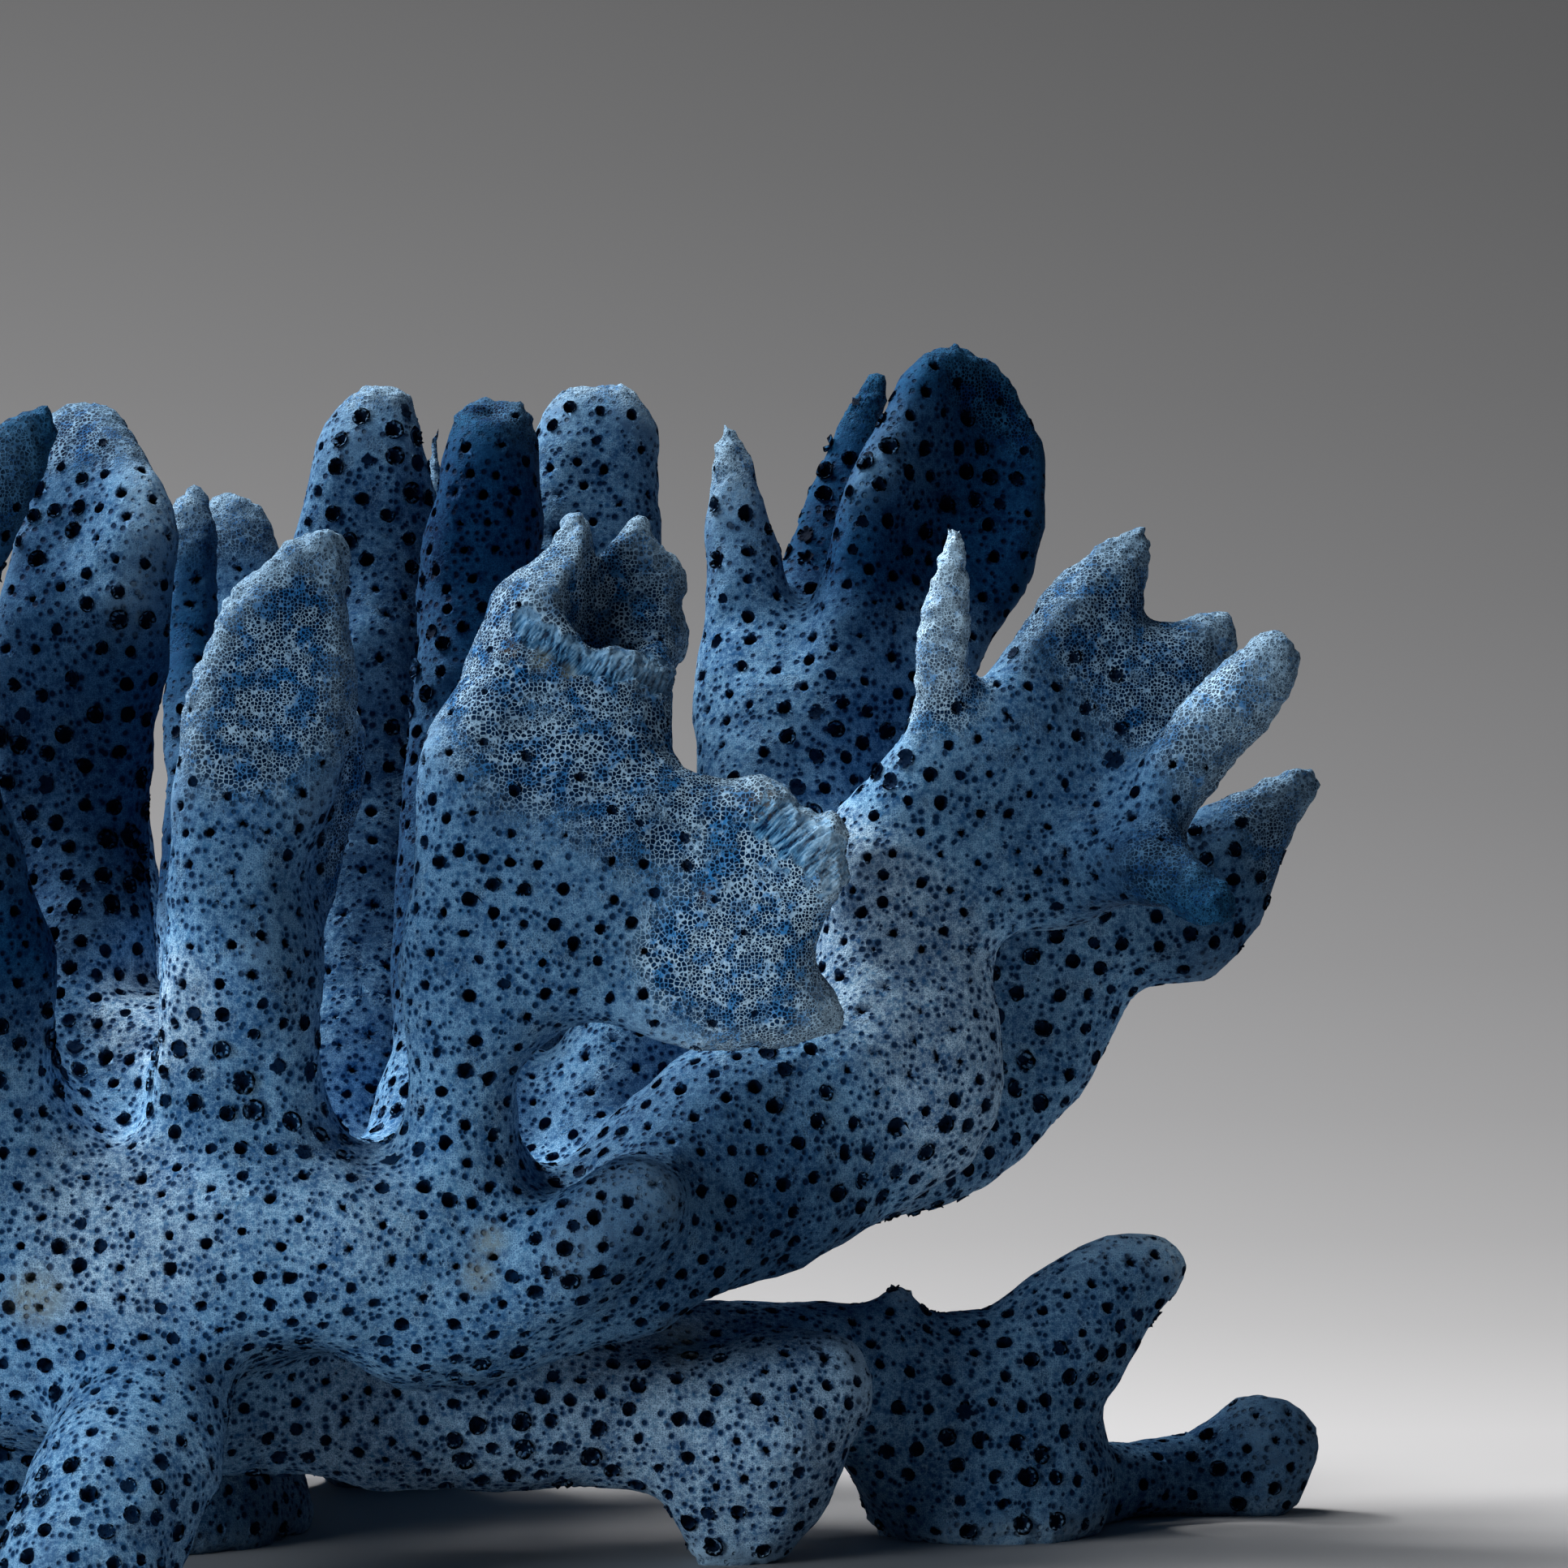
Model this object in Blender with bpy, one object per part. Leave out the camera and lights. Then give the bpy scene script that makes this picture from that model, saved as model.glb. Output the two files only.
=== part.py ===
"""Blue ridge coral: a dry blue coral skeleton of upright blades, fingers and a spread hand.

The colony is drawn in millimetres, with +X to the right, +Y to the back and +Z up.
Every limb is a chain of flattened sections. The limbs are blended into one body, meshed,
cut off flat at the bottom and parted into pieces at its main forks.
"""

import math

import bmesh
import bpy
import numpy as np
import openvdb
from mathutils import Vector

MM = 0.001

# Driving dimensions, in millimetres
FILLET = 1.8  # where branches grow out of each other
ROOT_FILLET = 5.0  # where they grow out of the crust
SCOOP_FILLET = 1.0  # at the rims of the hollows
THINNEST = 0.4  # least half thickness of a limb
GAP = 0.5  # left between pieces
PARTING = 3.0  # a piece and its carrier change places over this length
LUMP_SIZE = 9.0
LUMP_HEIGHT = 1.0
KNOT_SIZE = 4.6
KNOT_HEIGHT = 0.45
CRUST_ORIGIN = (-53.0, 8.0, 21.0)

# The grid that holds the shape, in millimetres
GRID = 0.75
LOW = np.array((-122.0, -32.0, -8.0))
HIGH = np.array((50.0, 92.0, 96.0))
FAR = 12.0
CHAIN_STEP = 2.2
SKIN = 4.0  # lumps reach this far from the surface
SLOWEST = 0.35  # least slope of a parting's distance
MARGIN = 4  # cells kept round a piece
FLOOR_DEPTH = 30.0

FACES = 9800
NOISE_CELLS = 24
SEED = 11

COLOUR = (0.16, 0.30, 0.50)
ROUGHNESS = 0.85
SHADES = (0.85, 0.925, 1.0, 1.075, 1.15)
SHARP_ANGLE = math.radians(60)

# Each station is (x, y, z, half width, half thickness). A limb's flat side looks to the
# front (-Y) unless face turns it, in degrees round Z, or lays it down with face="up".
# curl bends the edges of a blade towards the side that it faces.
BASE = {
    "crust": dict(fillet=ROOT_FILLET, stations=[
        (-97, 14, 24, 4.5, 7), (-88, 14, 22, 6.5, 10), (-76, 12, 21, 8, 12), (-64, 10, 22, 9, 13),
        (-53, 8, 21, 10.5, 14), (-42, 6, 23, 8.2, 13), (-32, 5, 24, 7, 12), (-24, 4, 21, 5, 9)]),
    "back_mound": dict(fillet=ROOT_FILLET, face="up", stations=[
        (-52, 10, 20, 13, 8), (-48, 25, 22, 15, 8), (-40, 40, 26, 15, 8), (-32, 52, 32, 10, 7)]),
    "west_mound": dict(fillet=ROOT_FILLET, face="up", stations=[
        (-72, 14, 20, 12, 7), (-74, 28, 22, 11, 7), (-74, 38, 25, 8, 6)]),
    "holdfast": dict(fillet=ROOT_FILLET, stations=[
        (-56, 26, 20, 22, 15), (-57, 29, 9, 20, 14), (-58, 31, -7, 25, 18)]),
    "right_shelf": dict(fillet=ROOT_FILLET, stations=[
        (-25, 5, 21, 5, 7), (-18, 4, 21.5, 5.5, 6), (-12, 4, 24, 6.6, 5), (-6, 6, 28, 7.4, 5),
        (-1, 9, 31, 7, 5)]),
    "thumb_ridge": dict(stations=[(-22, 0, 20, 3.4, 4), (-15, -3, 24, 3.6, 4), (-10.5, -3, 27.5, 3, 3.4)]),
}
FEET = {
    "front_foot": dict(stations=[
        (-44, -1, 15, 5.4, 5.4), (-45.5, -7, 10.5, 5.8, 5.4), (-47.5, -12, 5.5, 6, 5.4),
        (-49, -16, -3, 6, 5.2)]),
    "lower_shelf": dict(stations=[
        (-44, 13, 12, 5, 6), (-33, 14, 11, 4.6, 5), (-22, 14, 10.5, 5, 5), (-10, 14, 10.5, 5.4, 5),
        (-2, 14, 10.5, 6, 4.8), (3, 14, 12.5, 4.2, 3.8)]),
    "shelf_heel": dict(stations=[
        (-2.5, 14, 8.5, 7, 5), (-3, 14, 4.5, 5.4, 4.4), (-3.5, 14, 1.6, 3.8, 3.4),
        (-3.5, 14, -4, 2.8, 2.8)]),
    "dark_knuckle": dict(stations=[
        (-14, 17, 13, 4.4, 5), (-4, 22, 14.2, 4, 5), (5, 25, 12, 5.4, 6), (13, 28, 7.5, 8.4, 7.5),
        (17, 29, 3, 8, 7)]),
    "knuckle_finger": dict(stations=[
        (17, 28, 10, 5.6, 5), (22, 29, 15.5, 4.6, 4), (26, 30, 18.6, 3.5, 3.2),
        (28.2, 30, 19.4, 2.6, 2.6)]),
    "knuckle_bud": dict(stations=[(8, 25, 15, 2.2, 2.2), (8.6, 25, 18.4, 1.4, 1.4)]),
    "far_foot": dict(stations=[
        (18, 32, 2.5, 4, 4), (26, 37, 2.6, 3.4, 3.6), (32, 40, 2.8, 3.2, 3.4), (36.3, 40, 4.2, 4.2, 3.6),
        (38.4, 40, 5.4, 2.4, 2.4)]),
    "rear_foot": dict(stations=[
        (-42, 42, 20, 9, 8), (-35, 52, 11, 8, 7), (-30, 58, 3, 7, 6), (-27, 61, -5, 7, 6)]),
    "rear_left_foot": dict(stations=[(-68, 38, 20, 9, 8), (-75, 48, 10, 7, 6.4), (-78, 53, -5, 8, 6)]),
    "west_foot": dict(stations=[
        (-80, 14, 20, 9, 9), (-90, 13, 11, 7, 7), (-98, 11, 4, 6, 6), (-101, 10, -5, 6, 6)]),
}
FRONT = {
    "knife_blade": dict(stations=[
        (-39, 5, 25, 6.2, 6), (-38, 1, 35, 6, 4.6), (-38.5, -1, 44, 4.8, 4), (-38.5, -1, 50, 4, 3.4),
        (-37, -1, 57, 5.2, 2.9), (-36, -1, 63, 5.6, 2.4), (-35, -1, 68, 4.6, 2), (-33, -1, 72, 2.8, 1.6),
        (-31.5, -1, 74.5, 1, 1)]),
    "knife_heel": dict(stations=[
        (-35.5, 4, 46, 2.2, 3), (-33, 5, 54, 2.2, 2.8), (-31.5, 4, 62, 1.5, 1.7)]),
    "knife_knob": dict(stations=[(-44.5, 8, 33, 3, 3.4), (-45.3, 9, 42, 2.8, 3), (-45, 9, 48, 1.8, 2)]),
    "crown_tower": dict(stations=[
        (-23.5, 4, 21, 4.6, 5), (-23, 1, 31, 4.5, 4.6), (-22.5, 0, 38, 4.6, 4.2),
        (-20.5, 0, 44, 6.4, 3.8), (-18.5, 0, 50.5, 7.5, 3.6), (-16.5, 0, 57, 8.4, 3.6),
        (-15, 2, 63, 7.8, 4.4), (-14, 4, 68.5, 6.8, 4.6), (-13, 6, 72, 5.6, 3.2)]),
    "crown_spike": dict(face=-30, stations=[
        (-17, 3, 67, 2.6, 1.8), (-15.6, 4.5, 71.5, 1.9, 1.5), (-14.4, 5, 75, 0.9, 0.9)]),
    "crown_back": dict(stations=[
        (-11, 7.6, 67, 4.2, 1.5), (-10.2, 8, 71, 3, 1.4), (-10.2, 8, 74.4, 1.2, 1)]),
    "torn_wing": dict(stations=[
        (-18, 0, 48, 7.4, 3.4), (-12, -1, 48.5, 8.4, 3), (-7, -1.5, 48, 9.6, 2.6),
        (-3.5, -2, 47.5, 10, 2.2), (0, -2, 47, 9, 1.8), (1.5, -2, 47, 7.5, 1.5)]),
    "wing_knob": dict(stations=[
        (-4, -1.5, 54, 3.2, 2.8), (-0.5, -3, 54, 3.6, 3), (2, -4, 52.5, 3, 2.4),
        (3.4, -4.5, 50.5, 1.9, 1.6)]),
    "wing_tip": dict(stations=[
        (-2, -2, 42, 3.4, 1.9), (1.5, -2.2, 40.5, 2, 1.4), (3.6, -2.5, 39.7, 0.9, 0.9)]),
    "left_blade": dict(face=-15, stations=[
        (-56, 2, 34, 5, 5.5), (-57, -1, 44, 4.8, 4.4), (-58.3, -3, 52, 4.5, 3.6), (-60, -3, 61, 4.4, 3),
        (-59, -2, 69, 4.4, 2.5), (-55.6, -2, 76, 3.1, 2), (-52.8, -2, 81, 1.7, 1.4),
        (-51.6, -2, 83, 0.9, 0.9)]),
    "front_thumb": dict(stations=[
        (-66, 0, 22, 5.4, 6), (-70, -12, 27, 4.4, 4.2), (-72, -18, 35, 3.8, 3.2),
        (-73, -21, 43, 2.6, 2.2), (-73, -21.5, 48, 1.2, 1.2)]),
}
MIDDLE = {
    "lit_blade": dict(face=-22, stations=[
        (-51, 9, 30, 6, 6), (-51, 15, 45, 5.8, 5), (-52, 17, 54, 6.2, 4.2), (-51.5, 16, 62, 6.6, 3.6),
        (-50.5, 14, 70, 6.8, 3.2), (-50, 15, 75, 6.2, 2.6), (-50.5, 18, 79.5, 4.6, 2.1),
        (-50.5, 21, 82.5, 2.4, 1.4)]),
    "thin_finger": dict(stations=[
        (-43, 37, 33, 4, 4), (-45, 42, 54, 2.5, 2.4), (-45.5, 47, 67, 2, 1.9), (-45.5, 48, 75, 1.8, 1.7),
        (-45.5, 48, 79.4, 1.5, 1.4)]),
    "chimney_column": dict(face=10, stations=[
        (-26, 16, 25, 5.4, 6), (-24, 22, 36, 5, 5), (-24.5, 25, 45, 4.6, 4.6), (-23.5, 28, 54, 4.4, 4.2),
        (-23, 30, 63, 4, 3.6), (-23, 32, 72, 4.1, 3.4), (-22, 32, 78, 3.6, 3.3),
        (-21.8, 32, 83, 2.8, 2.7)]),
    "tall_column": dict(stations=[
        (-33, 30, 28, 6.4, 6), (-31.5, 33, 38, 6, 5), (-31.5, 36, 48, 5.6, 5), (-31.5, 38, 57, 5.4, 4.5),
        (-32, 40, 66, 5.2, 4.2), (-32, 42, 73, 5.2, 4), (-31, 42, 80, 4.4, 3.4),
        (-30.5, 42, 84, 2.8, 2.4)]),
    "column_bud": dict(stations=[
        (-29.5, 46, 64, 2.6, 2.6), (-27.8, 53, 76, 1.7, 1.7), (-27, 55, 83.4, 1.4, 1.3)]),
    "fork_trunk": dict(face=12, fillet=4.0, stations=[
        (-24, 12, 20, 5, 7), (-15, 16, 25, 5.6, 5.6), (-10, 20, 34, 6.2, 5.2), (-4, 22, 43, 6.5, 5),
        (-0.5, 25, 51, 6.5, 5), (0.5, 28, 58, 6.3, 5), (0.8, 30, 63, 6.4, 4.8)]),
    "fork_spike": dict(stations=[
        (-2, 30, 62, 3.8, 3.6), (-2.5, 31, 68, 3.1, 3), (-3.2, 32, 73.5, 2.5, 2.3),
        (-3.8, 33, 79, 2, 1.9), (-4.3, 34, 83, 1.6, 1.5)]),
    "cupped_blade": dict(face=25, curl=0.28, stations=[
        (4, 29, 59, 5.5, 4.6), (7, 31, 66, 6.8, 3.8), (9.8, 33, 72, 7.8, 3.1), (12, 35, 78, 7.8, 2.6),
        (13.6, 36, 83, 6.4, 2.2), (14.4, 36, 87, 3.8, 1.6)]),
    "cupped_back": dict(stations=[
        (3, 36, 66, 3.6, 2.6), (4.2, 41, 77, 3, 2), (6, 43, 83, 2.1, 1.5), (7.3, 43, 86, 1, 0.9)]),
}
RIGHT = {
    "hand_trunk": dict(face=8, fillet=4.0, stations=[
        (-3, 8, 29, 6, 6), (3, 11, 32, 8, 5.6), (8, 13, 36, 8, 5.6), (7.8, 15, 44, 6.5, 5),
        (9, 15, 49, 6.6, 4.8)]),
    "hand_palm": dict(face=12, curl=0.14, stations=[
        (9, 15, 49, 6.6, 4.8), (14, 16, 54, 7.2, 4), (20, 17, 60, 7.6, 3.2), (24, 18, 64.5, 7, 2.4)]),
    "hand_finger": dict(face=12, stations=[
        (20, 18, 64, 3.8, 2.8), (22, 18.5, 68.5, 3.2, 2.2), (24.2, 19, 72, 2.5, 1.9),
        (26, 20, 74.7, 1.4, 1.2)]),
    "hand_fork": dict(face=12, stations=[
        (25, 18, 61.5, 4.4, 2.5), (29.2, 19, 65.2, 2.7, 2), (32, 20, 67.3, 1.2, 1.1)]),
    "hand_edge": dict(face=-40, stations=[
        (24, 15, 50, 2.6, 2.2), (27.5, 12, 56, 2.2, 1.9), (31, 11, 60.5, 2.2, 1.8),
        (33.7, 11, 64, 2, 1.5), (35.3, 11, 66, 1.3, 1.1)]),
    "hand_thumb": dict(stations=[
        (19, 16, 50, 4, 3.6), (24, 12, 50.8, 3, 2.8), (28, 8, 49.2, 2.6, 2.5), (31, 5, 47.3, 2.2, 2.1)]),
    "lone_spike": dict(face=-18, stations=[
        (9.5, 15, 54, 3.6, 3.2), (10.6, 13, 61, 2.8, 2.5), (11.4, 12, 67, 2.6, 2.1),
        (12, 12, 72.5, 2.1, 1.8), (12.4, 12, 76.3, 1.3, 1.2)]),
    "rear_plate": dict(face=15, fillet=4.0, stations=[
        (-2, 18, 28, 5, 5), (5, 25, 28, 5.5, 5), (12, 31, 31, 6.6, 4.2), (17, 34, 37, 6.8, 3.8),
        (19.5, 35, 43, 6, 3.6), (21, 34, 49, 4.6, 3)]),
    "rear_finger": dict(face=10, stations=[
        (20, 35, 44, 5, 3.6), (25, 36, 46.5, 5.6, 3.4), (30, 36, 47, 5.9, 3.2), (33.6, 36, 50, 4.2, 2.8),
        (36.6, 36, 53, 2.6, 2.1), (39.6, 36, 56, 1.7, 1.5)]),
}
BACK = {
    "squat_column": dict(stations=[
        (-24, 42, 33, 6, 6), (-16, 46, 48, 5.4, 4.8), (-15, 53, 66, 5.2, 4.4), (-15, 56, 77, 5.3, 4),
        (-14.5, 56, 82, 4.9, 3.4), (-14.5, 56, 84, 4.2, 2.6)]),
    "far_shoulder": dict(stations=[
        (-38, 50, 34, 6, 6), (-41, 56, 54, 4.4, 3.8), (-42, 60, 65, 4.2, 3), (-42.5, 62, 71, 3.6, 2.4),
        (-43.5, 62, 76, 1.8, 1.5)]),
    "back_fan": dict(face=170, curl=0.2, stations=[
        (-33, 54, 33, 7, 6), (-35, 64, 43, 8, 4.2), (-36, 70, 53, 9.4, 3.2), (-35.5, 73, 59, 8.4, 2.6),
        (-35, 74, 62, 6, 2)]),
    "back_fan_tip": dict(face=160, stations=[
        (-31, 73, 58, 4, 2.5), (-28, 75, 65, 2.8, 1.9), (-27, 76, 70, 1.3, 1.2)]),
    "back_fan_side": dict(face=185, stations=[
        (-41, 72, 57, 4, 2.5), (-43.5, 74, 63, 2.4, 1.8), (-44, 75, 67, 1.3, 1.2)]),
    "back_finger": dict(face=150, stations=[
        (-26, 52, 34, 5, 5), (-19, 66, 45, 4.2, 3.6), (-16.5, 72, 55, 4, 2.6), (-15, 75, 62, 2.4, 1.7)]),
    "back_column": dict(face=160, curl=0.15, stations=[
        (-52, 44, 26, 7, 7), (-54, 58, 40, 5.6, 4.8), (-56, 65, 53, 6.2, 3.6), (-56, 69, 64, 5, 2.5),
        (-56, 70, 71, 2.2, 1.4)]),
    "back_column_fork": dict(stations=[
        (-58, 60, 44, 4, 3.6), (-63, 64, 54, 3, 2.6), (-66, 66, 63, 1.6, 1.4)]),
    "back_shelf": dict(face=200, stations=[
        (-58, 44, 24, 7, 7), (-61, 60, 26, 8, 5), (-65, 71, 32, 8.6, 3.6), (-67, 76, 40, 6.4, 2.6),
        (-67.5, 77, 45, 3, 1.6)]),
    "back_blade": dict(face=150, stations=[
        (-6, 20, 28, 5, 5), (2, 34, 33, 5.2, 5), (9, 46, 40, 6, 4.2), (15, 53, 47, 6.2, 3.2),
        (20, 57, 53, 5, 2.4), (22.5, 59, 58, 2.4, 1.5)]),
    "back_blade_fork": dict(stations=[
        (11, 50, 44, 3.6, 3), (11, 57, 52, 2.6, 2.1), (11.6, 60, 58.5, 1.4, 1.2)]),
}
WEST = {
    "west_blade": dict(face=-12, curl=0.2, stations=[
        (-71, 6, 26, 6, 6), (-72, 0, 42, 5.4, 4.2), (-75, -3, 54, 6.4, 3.2), (-78, -4, 65, 6.6, 2.5),
        (-79, -3, 72.5, 4.2, 1.8), (-79.5, -2, 77, 1.6, 1.1)]),
    "west_trunk": dict(face=-10, fillet=4.0, stations=[
        (-82, 14, 24, 6, 6), (-87, 15, 36, 5.5, 4.6), (-90, 16, 46, 6.4, 4)]),
    "west_spike": dict(stations=[
        (-88, 15, 44, 4, 3.6), (-86, 14, 56, 3.4, 2.7), (-85, 12, 65, 2.5, 1.9),
        (-84.5, 11, 71, 1.1, 1)]),
    "west_fork": dict(stations=[
        (-92, 17, 45, 4.6, 3.6), (-98, 19, 55, 4.6, 2.8), (-101, 20, 63, 3.4, 2),
        (-102.5, 20, 68, 1.4, 1.1)]),
    "west_horn": dict(stations=[
        (-93, 14, 24, 5.4, 6), (-103, 12, 28, 5, 4.8), (-109, 10, 35, 4.4, 3.6), (-112, 9, 43, 3.2, 2.6),
        (-113, 8, 50, 1.5, 1.3)]),
    "west_column": dict(face=-150, stations=[
        (-67, 32, 26, 6.4, 6.4), (-69, 38, 42, 5.4, 4.8), (-71, 41, 54, 5.8, 4), (-72, 43, 64, 5.8, 3.2),
        (-72, 44, 71, 4, 2.3), (-72, 44, 76, 1.9, 1.4)]),
    "west_column_fork": dict(stations=[
        (-69, 40, 48, 3.8, 3.4), (-65, 42, 58, 3, 2.5), (-62.5, 43, 67, 1.6, 1.4)]),
    "west_back_blade": dict(face=-130, stations=[
        (-78, 34, 25, 6, 6), (-86, 42, 38, 4.6, 4.4), (-91, 47, 48, 5.4, 3.4), (-95, 50, 58, 4.6, 2.5),
        (-97, 52, 65, 2, 1.4)]),
}
LIMBS = {**BASE, **FEET, **FRONT, **MIDDLE, **RIGHT, **BACK, **WEST}

# Hollows scooped out of the limbs: the torn crown, the chimney's mouth, the bite in the wing
# and the notches between the tips.
HOLLOWS = {
    "crown_mouth": dict(stations=[
        (-12.2, 3, 64.5, 2.4, 1.3), (-11.8, 2.6, 67.6, 3.6, 2.5), (-11, 1, 70.6, 4.8, 4.8),
        (-10, 0, 74, 6, 5.8), (-9, 0, 80, 6.5, 6)]),
    "crown_notch": dict(face="up", stations=[(-12.9, -2, 76, 1.5, 2.4), (-12.9, 14, 76, 1.5, 2.4)]),
    "chimney_mouth": dict(stations=[
        (-22, 32, 80, 0.8, 0.8), (-21.8, 31.5, 83, 1.7, 1.6), (-21.6, 31, 87, 2.2, 2.2)]),
    "wing_bite": dict(face="up", stations=[(4.3, -8, 45, 3.2, 3.2), (4.3, 6, 45, 3.2, 3.2)]),
    "hand_notch": dict(face="up", stations=[(28.6, 12, 69.6, 2.3, 2.3), (28.6, 26, 69.6, 2.3, 2.3)]),
    "blade_notch": dict(face="up", stations=[(-50.8, 14, 86, 1.4, 1.8), (-50.8, 26, 84.5, 1.4, 1.8)]),
}

# The pieces between the main forks: what carries each, how far along its first limb it is
# parted from that, 0 to 1, and its limbs.
CRUST = "coral_crust"
CRUST_LIMBS = ("crust", "back_mound", "west_mound")
PIECES = {
    "holdfast": (CRUST, 0.25, ("holdfast",)),
    "right_shelf": (CRUST, 0.3, ("right_shelf", "thumb_ridge")),
    "knife_blade": (CRUST, 0.27, ("knife_blade", "knife_heel", "knife_knob")),
    "crown_tower": (CRUST, 0.26, (
        "crown_tower", "crown_spike", "crown_back", "torn_wing", "wing_knob", "wing_tip")),
    "left_blade": (CRUST, 0.1, ("left_blade",)),
    "front_thumb": (CRUST, 0.3, ("front_thumb",)),
    "lit_blade": (CRUST, 0.2, ("lit_blade",)),
    "thin_finger": (CRUST, 0.2, ("thin_finger",)),
    "chimney_column": (CRUST, 0.2, ("chimney_column",)),
    "tall_column": (CRUST, 0.2, ("tall_column", "column_bud")),
    "squat_column": (CRUST, 0.2, ("squat_column",)),
    "far_shoulder": (CRUST, 0.2, ("far_shoulder",)),
    "fork_trunk": (CRUST, 0.2, ("fork_trunk",)),
    "fork_spike": ("fork_trunk", 0.15, ("fork_spike",)),
    "cupped_blade": ("fork_trunk", 0.15, ("cupped_blade", "cupped_back")),
    "hand_trunk": ("right_shelf", 0.2, ("hand_trunk",)),
    "spread_hand": ("hand_trunk", 0.1, ("hand_palm", "hand_finger", "hand_fork", "hand_edge")),
    "lone_spike": ("spread_hand", 0.25, ("lone_spike",)),
    "hand_thumb": ("spread_hand", 0.35, ("hand_thumb",)),
    "rear_plate": ("hand_trunk", 0.25, ("rear_plate",)),
    "rear_finger": ("rear_plate", 0.2, ("rear_finger",)),
    "lower_shelf": (CRUST, 0.16, ("lower_shelf", "shelf_heel")),
    "dark_knuckle": ("lower_shelf", 0.3, ("dark_knuckle", "knuckle_finger", "knuckle_bud")),
    "far_foot": ("dark_knuckle", 0.3, ("far_foot",)),
    "front_foot": (CRUST, 0.22, ("front_foot",)),
    "rear_foot": (CRUST, 0.3, ("rear_foot",)),
    "rear_left_foot": (CRUST, 0.3, ("rear_left_foot",)),
    "west_foot": (CRUST, 0.3, ("west_foot",)),
    "back_fan": (CRUST, 0.2, ("back_fan", "back_fan_tip", "back_fan_side")),
    "back_finger": ("squat_column", 0.3, ("back_finger",)),
    "back_column": (CRUST, 0.3, ("back_column", "back_column_fork")),
    "back_shelf": (CRUST, 0.36, ("back_shelf",)),
    "back_blade": ("fork_trunk", 0.3, ("back_blade", "back_blade_fork")),
    "west_blade": (CRUST, 0.2, ("west_blade",)),
    "west_trunk": (CRUST, 0.35, ("west_trunk",)),
    "west_spike": ("west_trunk", 0.12, ("west_spike",)),
    "west_fork": ("west_trunk", 0.12, ("west_fork",)),
    "west_horn": (CRUST, 0.25, ("west_horn",)),
    "west_column": (CRUST, 0.22, ("west_column", "west_column_fork")),
    "west_back_blade": (CRUST, 0.28, ("west_back_blade",)),
}


def smooth_chain(stations):
    """Points along a Catmull-Rom curve through the stations, about CHAIN_STEP apart."""
    keys = np.array(stations, float)
    ends = np.vstack([2 * keys[0] - keys[1], keys, 2 * keys[-1] - keys[-2]])
    ends[:, 3:] = np.maximum(ends[:, 3:], THINNEST)
    chain = [keys[0]]
    for i in range(1, len(ends) - 2):
        before, start, end, after = ends[i - 1:i + 3]
        steps = max(2, int(np.linalg.norm(end[:3] - start[:3]) / CHAIN_STEP))
        for t in np.linspace(0, 1, steps + 1)[1:]:
            bend = (end - before) * t + (2 * before - 5 * start + 4 * end - after) * t ** 2
            bend += (3 * start - before - 3 * end + after) * t ** 3
            chain.append(start + bend / 2)
    chain = np.array(chain)
    chain[:, 3:] = np.maximum(chain[:, 3:], THINNEST)
    return chain


def normal_of(face):
    """The direction that a limb's flat side looks in."""
    if face == "up":
        return np.array((0.0, 0.0, 1.0))
    angle = math.radians(face)
    return np.array((math.sin(angle), -math.cos(angle), 0.0))


def axes_of(direction, face):
    """Length, width and thickness directions of a section."""
    along = direction / np.linalg.norm(direction)
    facing = normal_of(face)
    facing = facing - along * facing.dot(along)
    facing /= np.linalg.norm(facing)
    return along, np.cross(along, facing), facing


def value_noise(points, size, seed):
    """Smooth repeatable noise from -1 to 1, with lumps of about the given size."""
    lattice = np.random.default_rng(seed).random((NOISE_CELLS,) * 3) * 2 - 1
    scaled = points / size
    cell = np.floor(scaled).astype(int)
    part = scaled - cell
    part = part * part * (3 - 2 * part)
    total = 0
    for corner in np.ndindex(2, 2, 2):
        weight = 1
        for axis in range(3):
            weight = weight * (part[..., axis] if corner[axis] else 1 - part[..., axis])
        index = (cell + corner) % NOISE_CELLS
        total = total + weight * lattice[index[..., 0], index[..., 1], index[..., 2]]
    return total


def blended(first, second, fillet):
    """The union of two distances, with a fillet where they meet."""
    mix = np.maximum(fillet - np.abs(first - second), 0) / fillet
    return np.minimum(first, second) - mix * mix * fillet / 4


def overlap(window, other):
    return tuple(slice(max(a.start, b.start), min(a.stop, b.stop)) for a, b in zip(window, other))


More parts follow.
